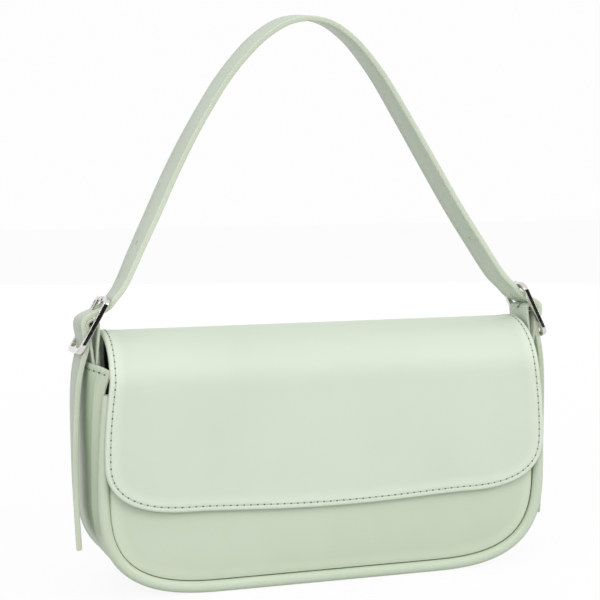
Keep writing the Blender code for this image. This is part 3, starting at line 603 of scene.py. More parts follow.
def crown(x, height, top):
    """How far the padding lifts a panel at a place; none along the piping."""
    width = np.interp(height, PANEL_STATIONS[:, 1], PANEL_STATIONS[:, 0])
    side = np.minimum(np.abs(x) / width, 1.0)
    low = np.clip((height - PANEL_INSET) / CROWN_RISE, 0.0, 1.0)
    high = np.clip((top - height) / CROWN_RISE, 0.0, 1.0)
    return PANEL_CROWN * (1 - side ** 4) * (1 - (1 - low) ** 3) * (1 - (1 - high) ** 3)


def front_face(s, t, h):
    """A flat piece on the front panel's face, a little to the left in its piping."""
    y = FRONT_SEAM_Y - PANEL_PROUD - crown(s, t, FRONT_TOP + CROWN_RISE) - h
    return np.stack((s - PANEL_SHIFT, y, t), axis=1)


def back_face(s, t, h):
    """A flat piece on the back panel's face."""
    return np.stack((s, back_seam_y(t) + PANEL_PROUD + crown(s, t, BACK_TOP) + h, t), axis=1)


def panel_outline(inset, top):
    """Closed outline of a panel: the body's U, and a straight top edge."""
    band = body_band(inset, top)
    edge = [(x, top) for x in steps_between(band[-1, 0], band[0, 0], PANEL_STEP)]
    return [*map(tuple, band), *edge]


def make_panels():
    """Front and back leather, rolled in at the piping seam."""
    for side, top, place in (("front", FRONT_TOP, front_face), ("back", BACK_TOP, back_face)):
        piece = cut_flat(panel_outline(PANEL_INSET + PANEL_GROOVE, top), LEATHER, PANEL_ROUND)
        press(piece, 1, PANEL_ROLL)
        slice_at(piece, ALONG, steps_between(0.0, top, PANEL_STEP / 2))
        slice_at(piece, ACROSS, steps_between(-BODY_WIDTH / 2, BODY_WIDTH / 2, PANEL_STEP))
        bend(piece, place)
        finish_piece(side + "_leather", piece, [SHELL_LEATHER], "bag",
                     [side + "_panel"])


def sweep(sections):
    """Extrude a closed section through all the later ones, and keep both end faces."""
    piece = bmesh.new()
    ring = [piece.verts.new(point) for point in sections[0]]
    face = piece.faces.new(ring)
    ends = [face]
    for index, section in enumerate(sections[1:]):
        region = [face] if index == 0 else [face, *face.edges, *face.verts]
        places = [tuple(vert.co) for vert in ring]
        grown = bmesh.ops.extrude_face_region(piece, geom=region)["geom"]
        copies = {tuple(item.co): item for item in grown if isinstance(item, bmesh.types.BMVert)}
        ring = [copies[place] for place in places]
        face = next(item for item in grown if isinstance(item, bmesh.types.BMFace))
        for vert, point in zip(ring, section):
            vert.co = point
    bmesh.ops.recalc_face_normals(piece, faces=piece.faces)
    return piece, [end for end in (*ends, face) if end.is_valid]


def make_piping(name, seam_y, top):
    """A leather tube round a cotton cord, with a flat where it stands on the ground."""
    run = Run(body_band(PIPING_RADIUS, top))
    marks = np.array([0.0, *steps_between(0.0, run.length, BEND_STEP), run.length])
    places, ways = run.at(marks)
    sections = []
    for (x, z), (way_x, way_z) in zip(places, ways):
        ring = []
        for side in range(TURN_STEPS):
            angle = 2 * math.pi * side / TURN_STEPS
            out = PIPING_RADIUS * math.cos(angle)
            y = float(seam_y(z)) + PIPING_RADIUS * math.sin(angle)
            ring.append((x + way_z * out, y, max(z - way_x * out, 0.0)))
        sections.append(ring)
    piece, ends = sweep(sections)
    for end in ends:
        for width, rise in PIPING_CUT:
            bmesh.ops.inset_region(piece, faces=[end], thickness=width, depth=rise)
        end.material_index = 1
    finish_piece(name + "_cover", piece, [SHELL_LEATHER, CORD_CORE], "bag",
                 [name])


def ease(share):
    """A share held between 0 and 1, and eased at both ends."""
    share = np.clip(share, 0.0, 1.0)
    return share * share * (3 - 2 * share)


def hem_share(height):
    """How far up from the widest point to the hem a height is."""
    return ease((height - WIDEST_HEIGHT) / (HEM_HEIGHT - WIDEST_HEIGHT))


GUSSET_RUN = Run(body_band(0.0, HEM_HEIGHT))
GUSSET_FRONT = FRONT_SEAM_Y + GUSSET_EDGE
GUSSET_DEPTH = BACK_SEAM_Y - GUSSET_EDGE - GUSSET_FRONT


def curl_share(height):
    """How far the gusset's free front corner has curled, over the piping's cut end."""
    return ease((height - CURL_START) / (HEM_HEIGHT - CURL_START))


def gusset_inset(depth, height, side):
    """How far inside the outline the gusset's face lies: turned rims, a crease and a wall.
    The left side of the bag has puffed out further than the right one."""
    near = np.minimum(depth, GUSSET_DEPTH - depth)
    puff = ease(height / SIDE_BULGE_HEIGHT) * (side < 0)
    hem = hem_share(height)
    bulge = SIDE_BULGE * puff * (1 - hem) + GUSSET_BULGE * hem
    bulge *= ease(near / (FLAT_SHARE * GUSSET_DEPTH))
    bulge += RIM_RISE * puff * np.clip(near / RIM_WIDTH, 0.0, 1.0)
    crease = CREASE * np.clip(1 - np.abs(near - RIM_WIDTH) / (RIM_SLOPE / 2), 0.0, 1.0)
    wall = (GUSSET_RECESS - RIM_RECESS) * ease((near - RIM_WIDTH) / RIM_SLOPE)
    curl = CURL_INWARD * curl_share(height) * np.clip(1 - depth / CURL_WIDTH, 0.0, 1.0)
    return RIM_RECESS + wall - bulge + crease + curl


def hem_raise(depth, height):
    """How far the hem stands over its plain height: the tab pulls its middle up."""
    pull = np.sin(math.pi / 2 * np.clip(depth / CURL_WIDTH, 0.0, 1.0))
    fall = np.clip((depth - GUSSET_DEPTH / 2) / (GUSSET_DEPTH / 2), 0.0, 1.0)
    return curl_share(height) * (HEM_RAISE + TAB_PULL * pull
                                 - (HEM_RAISE + TAB_PULL) * fall * fall)


def gusset_face(s, t, h):
    """A flat piece, a full depth wide, on the gusset's outer face."""
    place, way = GUSSET_RUN.at(t)
    height = place[:, 1]
    from_hem = np.minimum(t, GUSSET_RUN.length - t)
    groove = GROOVE_DEPTH * np.clip(1 - np.abs(from_hem - STITCH_INSET) / GROOVE_REACH, 0.0, 1.0)
    rise = h - gusset_inset(s, height, place[:, 0]) - groove
    forward = CURL_FORWARD * curl_share(height)
    depth = back_seam_y(height) - GUSSET_EDGE - GUSSET_FRONT + forward
    y = GUSSET_FRONT - forward + depth * s / GUSSET_DEPTH
    z = height - way[:, 0] * rise + hem_raise(s, height)
    return np.stack((place[:, 0] + way[:, 1] * rise, y, z), axis=1)


def rectangle(width_low, width_high, length_low, length_high, step):
    """Outline of a strip with points along its long sides."""
    up = [length_low, *steps_between(length_low, length_high, step), length_high]
    return [(width_low, t) for t in reversed(up)] + [(width_high, t) for t in up]


def make_gusset():
    """One leather band: left side, bottom and right side, with turned rims and hems."""
    piece = cut_flat(rectangle(0.0, GUSSET_DEPTH, 0.0, GUSSET_RUN.length, BEND_STEP),
                     HEM_THICKNESS, HEM_THICKNESS * CUT_ROUND_SHARE)
    near = [RIM_WIDTH + RIM_SLOPE * share for share in (-0.5, -0.25, 0.0, 0.25, 0.5, 1.0)]
    hem = [STITCH_INSET + GROOVE_REACH * share for share in (-1.0, 0.0, 1.0)]
    for direction, places, length, step in ((ACROSS, near, GUSSET_DEPTH, FINE_STEP),
                                            (ALONG, hem, GUSSET_RUN.length, BEND_STEP)):
        slice_at(piece, direction, places + [length - place for place in places])
        slice_at(piece, direction, steps_between(0.0, length, step))
    # The turned rim strips along both sides keep the paler colour, a painted highlight
    rim = piece.verts.layers.float["rim"]
    for vert in piece.verts:
        inside = min(vert.co.x, GUSSET_DEPTH - vert.co.x) > RIM_WIDTH
        vert[rim] = 0.0 if inside else 1.0
    bend(piece, gusset_face)
    finish_piece("gusset_leather", piece, [SHELL_LEATHER], "bag", ["gusset"])


def add_bead(piece, place, way, length, width, height):
    """A small rounded bead, laid along a way on the flat."""
    turn = Matrix.Rotation(math.atan2(way[1], way[0]), 4, "Z")
    size = Matrix.Diagonal((length / 2, width / 2, height / 2, 1.0))
    bmesh.ops.create_uvsphere(piece, u_segments=BEAD_SIDES, v_segments=BEAD_RINGS, radius=1.0,
                              matrix=Matrix.Translation(place) @ turn @ size)


def make_stitches(name, lines, height, place, body):
    """Thread, and the painted shade of the needle holes, along flat lines, both bent to their place with the
    leather.
    """
    thread, holes = bmesh.new(), bmesh.new()
    for line in lines:
        run = Run(line)
        count = max(round(run.length / STITCH_PITCH), 1)
        marks = run.length * (np.arange(count) + 0.5) / count
        for spot, way in zip(*run.at(marks)):
            add_bead(thread, (*spot, height), way, THREAD_LENGTH, THREAD_WIDTH, THREAD_WIDTH)
        # Each needle hole is a dark bead on the face: painted shade for the hole's depth
        marks = run.length * np.arange(count + 1) / count
        for spot, way in zip(*run.at(marks)):
            add_bead(holes, (*spot, height), way, HOLE_LENGTH, HOLE_WIDTH, THREAD_WIDTH / 2)
    made = []
    for kind, beads, material in (("thread", thread, MINT_THREAD),
                                  ("needle_hole_painted_shade", holes, HOLE_SHADE)):
        bend(beads, place)
        made.append(finish_piece(f"{name}_{kind}", beads, [material], body))
    return made


def make_gusset_stitches():
    """A row of stitches along each of the gusset's two hems."""
    low, high = STITCH_INSET, GUSSET_DEPTH - STITCH_INSET
    lines = [[(low, t), (high, t)] for t in (STITCH_INSET, GUSSET_RUN.length - STITCH_INSET)]
    make_stitches("gusset_hem", lines, THREAD_WIDTH * 0.1, gusset_face, "bag")


def back_curve(turn):
    """Section of the flap's outer face behind the ridge: 0 at the ridge, 1 at the seam."""
    span = RIDGE_HEIGHT - LEAN_START
    low = (BACK_SEAM_HEIGHT - LEAN_START) / span
    share = low + (1 - low) * math.cos(math.pi / 2 * turn)
    reach = BACK_SEAM_Y + BACK_STANDOFF - RIDGE_Y
    return (RIDGE_Y + reach * math.sqrt(max(1 - share ** LEAN_POWER, 0.0)),
            LEAN_START + span * share)


def front_curve(turn):
    """Section of the flap's front bend: 0 at the ridge, 1 where the front falls straight."""
    angle = math.pi / 2 * turn
    drop = RIDGE_HEIGHT - FLAP_BEND_START
    return (RIDGE_Y + (FLAP_FRONT_Y - RIDGE_Y) * math.sin(angle),
            FLAP_BEND_START + drop * math.cos(angle))


FLAP_BACK = [back_curve(1 - step / SIDE_STEPS) for step in range(SIDE_STEPS)]
FLAP_BEND = [front_curve(step / SIDE_STEPS) for step in range(SIDE_STEPS + 1)]
FLAP_FALL = [(FLAP_FRONT_Y, z) for z in steps_between(0.0, FLAP_BEND_START, BEND_STEP)][::-1]
FLAP_RUN = Run(FLAP_BACK + FLAP_BEND + FLAP_FALL)
RIDGE_MARK = FLAP_RUN.marks[len(FLAP_BACK)]
FALL_MARK = FLAP_RUN.marks[len(FLAP_BACK) + len(FLAP_BEND) - 1]
PAINTED_SHADE_SPLIT = RIDGE_MARK + PAINTED_SHADE_REACH


def fall_mark(height):
    """Length along the flap's section at a height of its straight front."""
    return FALL_MARK + FLAP_BEND_START - height


def flap_half_width(mark):
    """Half width of the flap at a length along its section, down to its widest point."""
    if mark < RIDGE_MARK:
        share = mark / RIDGE_MARK
        return (FLAP_BACK_WIDTH + (FLAP_RIDGE_WIDTH - FLAP_BACK_WIDTH) * share) / 2
    height = FLAP_RUN.at(np.array([mark]))[0][0, 1]
    if height > FLAP_TOP_WIDTH_HEIGHT:
        rise = (height - FLAP_TOP_WIDTH_HEIGHT) / (RIDGE_HEIGHT - FLAP_TOP_WIDTH_HEIGHT)
        return (FLAP_TOP_WIDTH + (FLAP_RIDGE_WIDTH - FLAP_TOP_WIDTH) * rise) / 2
    climb = (FLAP_TOP_WIDTH_HEIGHT - height) / (FLAP_TOP_WIDTH_HEIGHT - FLAP_WIDEST_HEIGHT)
    return (FLAP_TOP_WIDTH + (FLAP_WIDTH - FLAP_TOP_WIDTH) * math.sin(math.pi / 2 * climb)) / 2


def flap_outline():
    """Closed flat outline of the flap, from its right side round the bottom to the back."""
    widest = fall_mark(FLAP_WIDEST_HEIGHT)
    right = [(flap_half_width(mark), mark)
             for mark in (0.0, *steps_between(0.0, widest, BEND_STEP), widest)]
    for step in range(1, CORNER_STEPS + 1):
        across, down = superellipse(1 - step / CORNER_STEPS, FLAP_CORNER_POWER)
        height = FLAP_WIDEST_HEIGHT - (FLAP_WIDEST_HEIGHT - FLAP_CORNER_END) * down
        right.append((FLAP_WIDTH / 2 - FLAP_CORNER_WIDTH * (1 - across), fall_mark(height)))
    reach = right[-1][0]
    bottom = [(x, fall_mark(FLAP_CORNER_END - FLAP_BOW * (1 - (x / reach) ** 2) ** 1.5))
              for x in steps_between(reach, -reach, -BEND_STEP)]
    left = [(-x, mark) for x, mark in reversed(right)]
    back = [(x, 0.0) for x in steps_between(left[-1][0], right[0][0], PANEL_STEP)]
    return right + bottom + left + back


def inset_line(outline, inset):
    """A closed outline moved inwards, and closed onto its first point."""
    points = np.array(outline)
    first, second = [way / np.linalg.norm(way, axis=1)[:, None] for way in
                     (points - np.roll(points, 1, axis=0), np.roll(points, -1, axis=0) - points)]
    inward = np.stack((-(first + second)[:, 1], (first + second)[:, 0]), axis=1)
    inward /= np.linalg.norm(inward, axis=1)[:, None]
    facing = np.stack((-first[:, 1], first[:, 0]), axis=1)
    mitre = np.sum(inward * facing, axis=1)[:, None]
    moved = points + inward * inset / np.maximum(mitre, 0.5)
    return np.concatenate((moved, moved[:1]))


def flap_face(s, t, h):
    """A flat piece on the flap's outer face."""
    place, way = FLAP_RUN.at(t)
    return np.stack((s, place[:, 0] + way[:, 1] * h, place[:, 1] - way[:, 0] * h), axis=1)


def flap_slices():
    """Where the flap is cut so that it can bend: finely over the ridge and the fold."""
    fine = steps_between(0.0, FALL_MARK + BEND_STEP, FINE_STEP)
    return fine + steps_between(FALL_MARK + BEND_STEP, FLAP_RUN.length, PANEL_STEP / 2)


FOLD = joint_place("flap_lift")
BLEND_WAY = Vector((0, -1, -1)).normalized() * BLEND_REACH


def hinge_flap(solid):
    """Let a piece of the flap bend over the fold."""
    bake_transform(solid, "bag", "flap", start=FOLD - BLEND_WAY, end=FOLD + BLEND_WAY)


def make_flap():
    """Outer leather turned round the rim, its stitched border, and the lining inside; under the
    ridge that lining is black cloth, a painted shade.
    """
    outline = flap_outline()
    piece = cut_flat(outline, FLAP_THICKNESS, RIM_ROUND, FLAP_ROUND_STEPS)
    border = STITCH_INSET - RIM_ROUND
    groove = THREAD_WIDTH
    press(piece, 1, [(border * 0.4, 0.0), (border * 0.6 - groove, 0.0),
                     (groove * 0.6, -GROOVE_DEPTH), (groove * 0.8, 0.0),
                     (groove * 0.8, GROOVE_DEPTH),
                     *[(width, -FLAP_PUFF / 2) for width in FLAP_PUFF_WIDTHS]])
    recess = FLAP_THICKNESS - FLAP_COVER
    press(piece, -1, [(FLAP_TURNED_EDGE, 0.0),
                      *[(width, -recess / 2) for width in FLAP_RECESS_WIDTHS]])
    slice_at(piece, ALONG, flap_slices())
    slice_at(piece, ACROSS, steps_between(-FLAP_WIDTH / 2, FLAP_WIDTH / 2, PANEL_STEP))
    bend(piece, flap_face)
    hinge_flap(finish_piece("flap_leather", piece, [FLAP_LEATHER], None,
                            ["flap_top", "flap_front"]))
    inner = [tuple(point) for point in inset_line(outline, RIM_ROUND + FLAP_LINING_MARGIN)[:-1]]
    top = [point for point in inner if point[1] <= PAINTED_SHADE_SPLIT]
    front = [point for point in inner if point[1] > PAINTED_SHADE_SPLIT + SEAM_GAP]
    depth = FLAP_THICKNESS - FLAP_LINING - FLAP_LINING_SEAT
    # Under the ridge the lining is black cloth that stands in for the shade inside the fold: painted shade.
    # Down the front it is mint leather.
    for name, part, material in (("top_lining", top, LINING_CLOTH),
                                 ("front_lining", front, SHELL_LEATHER)):
        lining = cut_flat(part, FLAP_LINING, FLAP_LINING * CUT_ROUND_SHARE)
        bmesh.ops.translate(lining, vec=(0, 0, -depth), verts=lining.verts)
        slice_at(lining, ALONG, flap_slices())
        bend(lining, flap_face)
        hinge_flap(finish_piece("flap_inner_" + name, lining, [material], None,
                                ["flap_" + name]))
    seam = inset_line(outline, STITCH_INSET)
    for beads in make_stitches("flap", [seam], THREAD_WIDTH * 0.2 - GROOVE_DEPTH, flap_face,
                               None):
        hinge_flap(beads)


def make_lining_bag():
    """The loose black lining, one lofted bag from its bottom to its three top edges."""
    right = body_half(LINING_RECESS, HEM_HEIGHT - LINING_DROP)
    inner = Run(right)
    marks = [0.0, *steps_between(0.0, inner.length, PANEL_STEP), inner.length]
    rings = []
    for mark in marks:
        width, height = inner.at(np.array([mark]))[0][0]
        width += LINING_BULGE * float(hem_share(height))
        rings.append(lining_ring(width, height))
    piece, ends = sweep(rings)
    top = max(ends, key=lambda end: end.calc_center_median().z)
    bmesh.ops.delete(piece, geom=[top], context="FACES")
    solid = finish_piece("lining_bag", piece, [LINING_CLOTH], "bag",
                         ["front_lining", "back_lining", "gusset_lining"])
    wall = solid.modifiers.new("cloth_thickness", "SOLIDIFY")
    wall.thickness = LINING
    wall.offset = 1.0


def lining_ring(width, height):
    """A level section of the lining, which sags a little between its corners."""
    front_top = min(height, FRONT_TOP)
    back_top = height + (LINING_BACK_TOP - HEM_HEIGHT) * float(curl_share(height))
    front = FRONT_SEAM_Y - PANEL_PROUD + STACK + LINING
    back = float(back_seam_y(back_top)) + PANEL_PROUD - STACK - LINING
    ring = []
    for way, near, far, top, folds in ((1, front, back, front_top, FRONT_FOLDS),
                                       (-1, back, front, back_top, BACK_FOLDS)):
        start, step = -width * way, PANEL_STEP * way
        for x in (start, *steps_between(start, -start, step), -start):
            fold = LINING_SAG * (1 - math.cos(folds * math.pi * x / width))
            ring.append((x, near + fold * way, top))
        ring += [(-start, y, height) for y in steps_between(near, far, step)]
    return ring


def pocket_face(s, t, h):
    """A flat piece on the back lining's inner side."""
    y = back_seam_y(t) + PANEL_PROUD - STACK - 2 * LINING - SEAM_GAP
    return np.stack((s, y - POCKET_GAP - h, t), axis=1)


def make_pocket():
    """A flat slip pocket sewn to the back lining, open at its hemmed top."""
    half = POCKET_WIDTH / 2
    piece = cut_flat(rectangle(-half, half, POCKET_BOTTOM, POCKET_TOP, PANEL_STEP), LINING,
                     LINING * CUT_ROUND_SHARE)
    slice_at(piece, ALONG, steps_between(POCKET_BOTTOM, POCKET_TOP, PANEL_STEP))
    bend(piece, pocket_face)
    finish_piece("slip_pocket_cloth", piece, [LINING_CLOTH], "bag", ["slip_pocket"])


def buckle_place(up, out, lean=BUCKLE_LEAN):
    """A place in a buckle's plane, from the pivot: up along the frame, and out from the bag."""
    return (BAR_X - up * math.sin(lean) + out * math.cos(lean),
            up * math.cos(lean) + out * math.sin(lean))


def buckle_wave(up):
    """The strap runs inside both end bars and outside the tab on the centre bar."""
    middle = (STRAP_OVER - STRAP_UNDER) / 2
    swing = (STRAP_OVER + STRAP_UNDER) / 2
    return middle + swing * math.cos(math.pi * abs(up / FRAME_HALF_PITCH) ** WAVE_POWER)


def smooth_path(points, steps):
    """A curve through all the points, with tangents from their neighbours."""
    curve = []
    points = [np.array(point) for point in points]
    for index in range(len(points) - 1):
        start, end = points[index], points[index + 1]
        leave = (end - points[index - 1]) / 2 if index else end - start
        arrive = (points[index + 2] - start) / 2 if index + 2 < len(points) else end - start
        for step in range(steps):
            share = step / steps
            squared, cubed = share ** 2, share ** 3
            curve.append((2 * cubed - 3 * squared + 1) * start + (3 * squared - 2 * cubed) * end
                         + (cubed - 2 * squared + share) * leave + (cubed - squared) * arrive)
    return curve + [points[-1]]


def strap_half(lean):
    """Middle line of half the strap in its own plane, from the apex to the tail's end."""
    leg = buckle_place(FRAME_HALF_PITCH, -STRAP_UNDER, lean)
    rise = STRAP_RISE + STRAP_TOP_BAR - leg[1]
    arch = [(leg[0] * across, leg[1] + rise * up) for across, up in reversed(ARCH_SHARES)]
    arch.insert(0, (-arch[1][0], arch[1][1]))
    wave = []
    for step in range(2 * WAVE_STEPS + 1):
        up = FRAME_HALF_PITCH * (1 - step / WAVE_STEPS)
        wave.append(buckle_place(up, buckle_wave(up), lean))
    foot = wave[-1]
    drop = TAIL_DROP + foot[1] - STRAP_FOOT
    tail = [(foot[0] + TAIL_BOW * bow, foot[1] - drop * down)
            for bow, down in reversed(TAIL_SHARES)]
    upper = smooth_path(arch + wave[:2], ARCH_STEPS)[ARCH_STEPS:-ARCH_STEPS - 1]
    lower = smooth_path(wave[-2:] + tail, TAIL_STEPS)
    return upper + [np.array(point) for point in wave[:-2]] + lower


STRAP_FOOT = buckle_place(-FRAME_HALF_PITCH, -STRAP_UNDER)[1]
STRAP_TOP_BAR = buckle_place(FRAME_HALF_PITCH, -STRAP_UNDER)[1]
STRAP_LEFT = np.array(strap_half(BUCKLE_LEAN))
STRAP_RIGHT = np.array(strap_half(BUCKLE_LEAN - RIGHT_LEAN_EASE))
STRAP_LINE = np.concatenate((STRAP_LEFT[:0:-1] * (-1, 1), STRAP_RIGHT))
STRAP_SWAYS = STRAP_SWAY * np.sin(
    math.pi * np.maximum(STRAP_LINE[:, 1] - STRAP_TOP_BAR, 0.0) / STRAP_RISE / STRAP_SWAY_SHARE)
STRAP_RUN = Run(np.stack((STRAP_LINE[:, 0], STRAP_SWAYS, STRAP_LINE[:, 1]), axis=1))
STRAP_END = STRAP_RUN.length


def lean_back(place):
    """Turn the strap's own plane about the pivot, to where it rests."""
    cosine, sine = math.cos(STRAP_LEAN_BACK), math.sin(STRAP_LEAN_BACK)
    y = place[:, 1] * cosine + place[:, 2] * sine
    z = place[:, 2] * cosine - place[:, 1] * sine
    return np.stack((place[:, 0], y, z), axis=1) + np.array(PIVOT)


def strap_face(s, t, h):
    """A flat strip along the strap's middle line; height 0 is its outer face."""
    place, way = STRAP_RUN.at(t)
    out = np.stack((-way[:, 2], np.zeros(len(t)), way[:, 0]), axis=1)
    out /= np.linalg.norm(out, axis=1)[:, None]
    across = np.cross(out, way)
    # Both tails have set with a twist the same way, their front edges swung towards -X.
    rise = 1 - np.clip((STRAP_FOOT - place[:, 2]) / TAIL_DROP, 0.0, 1.0)
    turn = np.where(place[:, 0] > 0, RIGHT_TAIL_TWIST, -LEFT_TAIL_TWIST) * (1 - rise * rise)
    # The arch rolls its outer face towards the front, most at its top; the left leg rolls too.
    climb = np.clip((place[:, 2] - STRAP_TOP_BAR) / STRAP_RISE, 0.0, 1.0)
    leg = LEFT_LEG_ROLL * np.sin(math.pi * climb ** LEG_ROLL_POWER) ** 2
    turn += TOP_ROLL * climb ** TOP_ROLL_POWER + np.where(place[:, 0] < 0, leg, 0.0)
    cosine, sine = np.cos(turn)[:, None], np.sin(turn)[:, None]
    wide = across * cosine + out * sine
    thick = out * cosine - across * sine
    lifted = h + STRAP_THICKNESS / 2
    place[:, 0] -= np.where(place[:, 0] > 0, RIGHT_TAIL_TUCK, 0.0) * (1 - rise) ** 2
    return lean_back(place + wide * s[:, None] + thick * lifted[:, None])


def strap_marks():
    """Lengths along the strap of its prong holes and its spare holes, left and right."""
    slots, spares = [], []
    halves = ((-1, BUCKLE_LEAN), (1, BUCKLE_LEAN - RIGHT_LEAN_EASE))
    for side, lean in halves:
        half = (STRAP_RUN.marks - STRAP_END / 2) * side > 0
        order = np.argsort(-STRAP_RUN.points[half, 2])
        falls, marks = -STRAP_RUN.points[half, 2][order], STRAP_RUN.marks[half][order]
        slot = buckle_place(PRONG_HOLE_START + PRONG_HOLE_LENGTH / 2, STRAP_OVER, lean)[1]
        slots.append(np.interp(-slot, falls, marks))
        spares.append(np.interp(-STRAP_TOP_BAR, falls, marks) - side * SPARE_HOLE_DISTANCE)
    return slots, spares


def paint_sides(piece, index):
    """Give the faces on the rim of a flat strip another material."""
    for face in piece.faces:
        if abs(face.normal.z) < 0.5:
            face.material_index = index


def punch(piece, cutters):
    """Cut holes through a flat piece with solid punches, and give back the piece."""
    solid = new_object("punched", piece)
    tools = [new_object("punch", cutter) for cutter in cutters]
    for tool in tools:
        modifier = solid.modifiers.new("punch", "BOOLEAN")
        modifier.operation = "DIFFERENCE"
        modifier.solver = "EXACT"
        modifier.object = tool
    result = bmesh.new()
    result.from_object(solid, bpy.context.evaluated_depsgraph_get())
    for item in (solid, *tools):
        bpy.data.objects.remove(item, do_unlink=True)
    return result


def round_punch(place, radius, stretch):
    """A punch for a hole that is round, or drawn out along the strap."""
    tool = bmesh.new()
    spot = Matrix.Translation((0.0, place, -STRAP_THICKNESS / 2))
    size = Matrix.Diagonal((1.0, stretch, 1.0, 1.0))
    bmesh.ops.create_cone(tool, cap_ends=True, segments=TURN_STEPS, depth=3 * STRAP_THICKNESS,
                          radius1=radius, radius2=radius, matrix=spot @ size)
    return tool


def make_strap():
    """One strap from tail to tail: two layers of leather, painted edges, punched holes."""
    half = STRAP_WIDTH / 2
    piece = cut_flat(rectangle(-half, half, 0.0, STRAP_END, BEND_STEP), STRAP_THICKNESS,
                     STRAP_ROUND)
    for side in (1, -1):
        press(piece, side, STRAP_CREASE)
    slots, spares = strap_marks()
    stretch = PRONG_HOLE_LENGTH / PRONG_HOLE_WIDTH
    punches = [round_punch(mark, PRONG_HOLE_WIDTH / 2, stretch) for mark in slots]
    punches += [round_punch(mark, SPARE_HOLE_RADIUS, 1.0) for mark in spares]
    piece = punch(piece, punches)
    slice_at(piece, ALONG, steps_between(0.0, STRAP_END, FINE_STEP))
    slice_at(piece, ACROSS, steps_between(-half, half, half))
    piece.normal_update()
    paint_sides(piece, 1)
    bend(piece, strap_face)
    finish_piece("strap_leather_strip", piece, [STRAP_LEATHER, STRAP_EDGE], "strap",
                 ["strap"])


def tab_line():
    """Middle line of the right tab, from one sewn end over the bar to the other."""
    radius = TAB_BEND_RADIUS + TAB_LEATHER / 2
    apart = (TAB_LEATHER + SEAM_GAP) / 2
    top = HEM_HEIGHT + TAB_TONGUE_RISE - PIVOT.z
    low = top - TAB_TONGUE_RISE - TAB_TONGUE_DEPTH
    bow = []
    for step in range(TURN_STEPS + 1):
        angle = math.pi * (1 - step / TURN_STEPS)
        bow.append((BAR_X + radius * math.cos(angle), radius * math.sin(angle)))
    inner, outer = [], []
    for z in (low, *steps_between(low, top, FINE_STEP), top):
        x = TAB_TONGUE_X - TAB_LEAN_IN * (top - z) / (top - low)
        inner.append((x - apart, z))
        outer.insert(0, (x + apart, z))
    return smooth_path(inner + bow + outer, TAB_STEPS)


def make_tabs():
    """Leather loops round the centre bars, slotted for the prong and sewn behind the hem."""
    run = Run(tab_line())
    half = TAB_WIDTH / 2
    crest = run.length / 2
    stretch = 2 * TAB_SLOT_DROP / PRONG_HOLE_WIDTH + 2.0
    for side, reach in SIDES:
        piece = cut_flat(rectangle(-half, half, 0.0, run.length, BEND_STEP), TAB_LEATHER,
                         TAB_ROUND)
        piece = punch(piece, [round_punch(crest, PRONG_HOLE_WIDTH / 2, stretch)])
        slice_at(piece, ALONG, steps_between(0.0, run.length, FINE_STEP / 2))
        piece.normal_update()
        paint_sides(piece, 1)
        bend(piece, lambda s, t, h: tab_face(run, reach, s, t, h))
        tab = finish_piece(side + "_tab_leather", piece, [STRAP_LEATHER, STRAP_EDGE], None,
                           [side + "_tab"])
        bar = Vector((reach * BAR_X, PIVOT.y, PIVOT.z))
        sewn = Vector((bar.x, PIVOT.y, HEM_HEIGHT))
        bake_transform(tab, "bag", "strap", start=sewn, end=bar)


def tab_face(run, reach, s, t, h):
    """A flat strip along the tab's line; height 0 is its outer face."""
    place, way = run.at(t)
    rise = h + TAB_LEATHER / 2
    x = place[:, 0] - way[:, 1] * rise
    z = place[:, 1] + way[:, 0] * rise
    return lean_back(np.stack((reach * x, s, z), axis=1))


def seat_on_bar(piece, reach):
    """Turn and move what is built round a bar on the Y axis to the right or left buckle."""
    lean = Matrix.Rotation((RIGHT_LEAN_EASE if reach > 0 else 0.0) - BUCKLE_LEAN, 4, "Y")
    side = Matrix.Rotation(0.0 if reach > 0 else math.pi, 4, "Z")
    back = Matrix.Rotation(-STRAP_LEAN_BACK, 4, "X")
    place = Matrix.Translation(PIVOT) @ back @ side @ Matrix.Translation((BAR_X, 0, 0)) @ lean
    bmesh.ops.transform(piece, matrix=place, verts=piece.verts)


def buckle_ring():
    """A flat ring with round corners and softened edges, in the YZ plane."""
    inner = STRAP_WIDTH + 2 * FRAME_SIDE_GAP
    ring = bmesh.new()
    bmesh.ops.create_grid(ring, x_segments=1, y_segments=1, size=0.5)
    bmesh.ops.scale(ring, vec=(inner + 2 * FRAME_BAR, FRAME_LENGTH, 1.0), verts=ring.verts)
    bmesh.ops.bevel(ring, geom=ring.verts[:], offset=FRAME_CORNER, segments=FRAME_CORNER_STEPS,
                    profile=0.5, affect="VERTICES", material=-1)
    plate = ring.faces[:][0]
    bmesh.ops.inset_region(ring, faces=[plate], thickness=FRAME_BAR, depth=0.0,
                           use_even_offset=True, use_boundary=True)
    bmesh.ops.delete(ring, geom=[plate], context="FACES_ONLY")
    grown = bmesh.ops.extrude_face_region(ring, geom=ring.faces[:])["geom"]
    moved = [item for item in grown if isinstance(item, bmesh.types.BMVert)]
    bmesh.ops.translate(ring, vec=(0, 0, RING_THICKNESS), verts=moved)
    bmesh.ops.translate(ring, vec=(0, 0, -RING_THICKNESS / 2), verts=ring.verts)
    bmesh.ops.recalc_face_normals(ring, faces=ring.faces)
    rims = [edge for edge in ring.edges if edge.calc_face_angle(0) > 1.0
            and abs(edge.verts[0].co.z - edge.verts[1].co.z) < WELD]
    bmesh.ops.bevel(ring, geom=rims, offset=FRAME_ROUND, segments=FRAME_ROUND_STEPS, profile=0.5,
                    affect="EDGES", material=-1)
    upright = Matrix(((0, 0, 1), (1, 0, 0), (0, 1, 0))).to_4x4()
    bmesh.ops.transform(ring, matrix=upright, verts=ring.verts)
    return ring


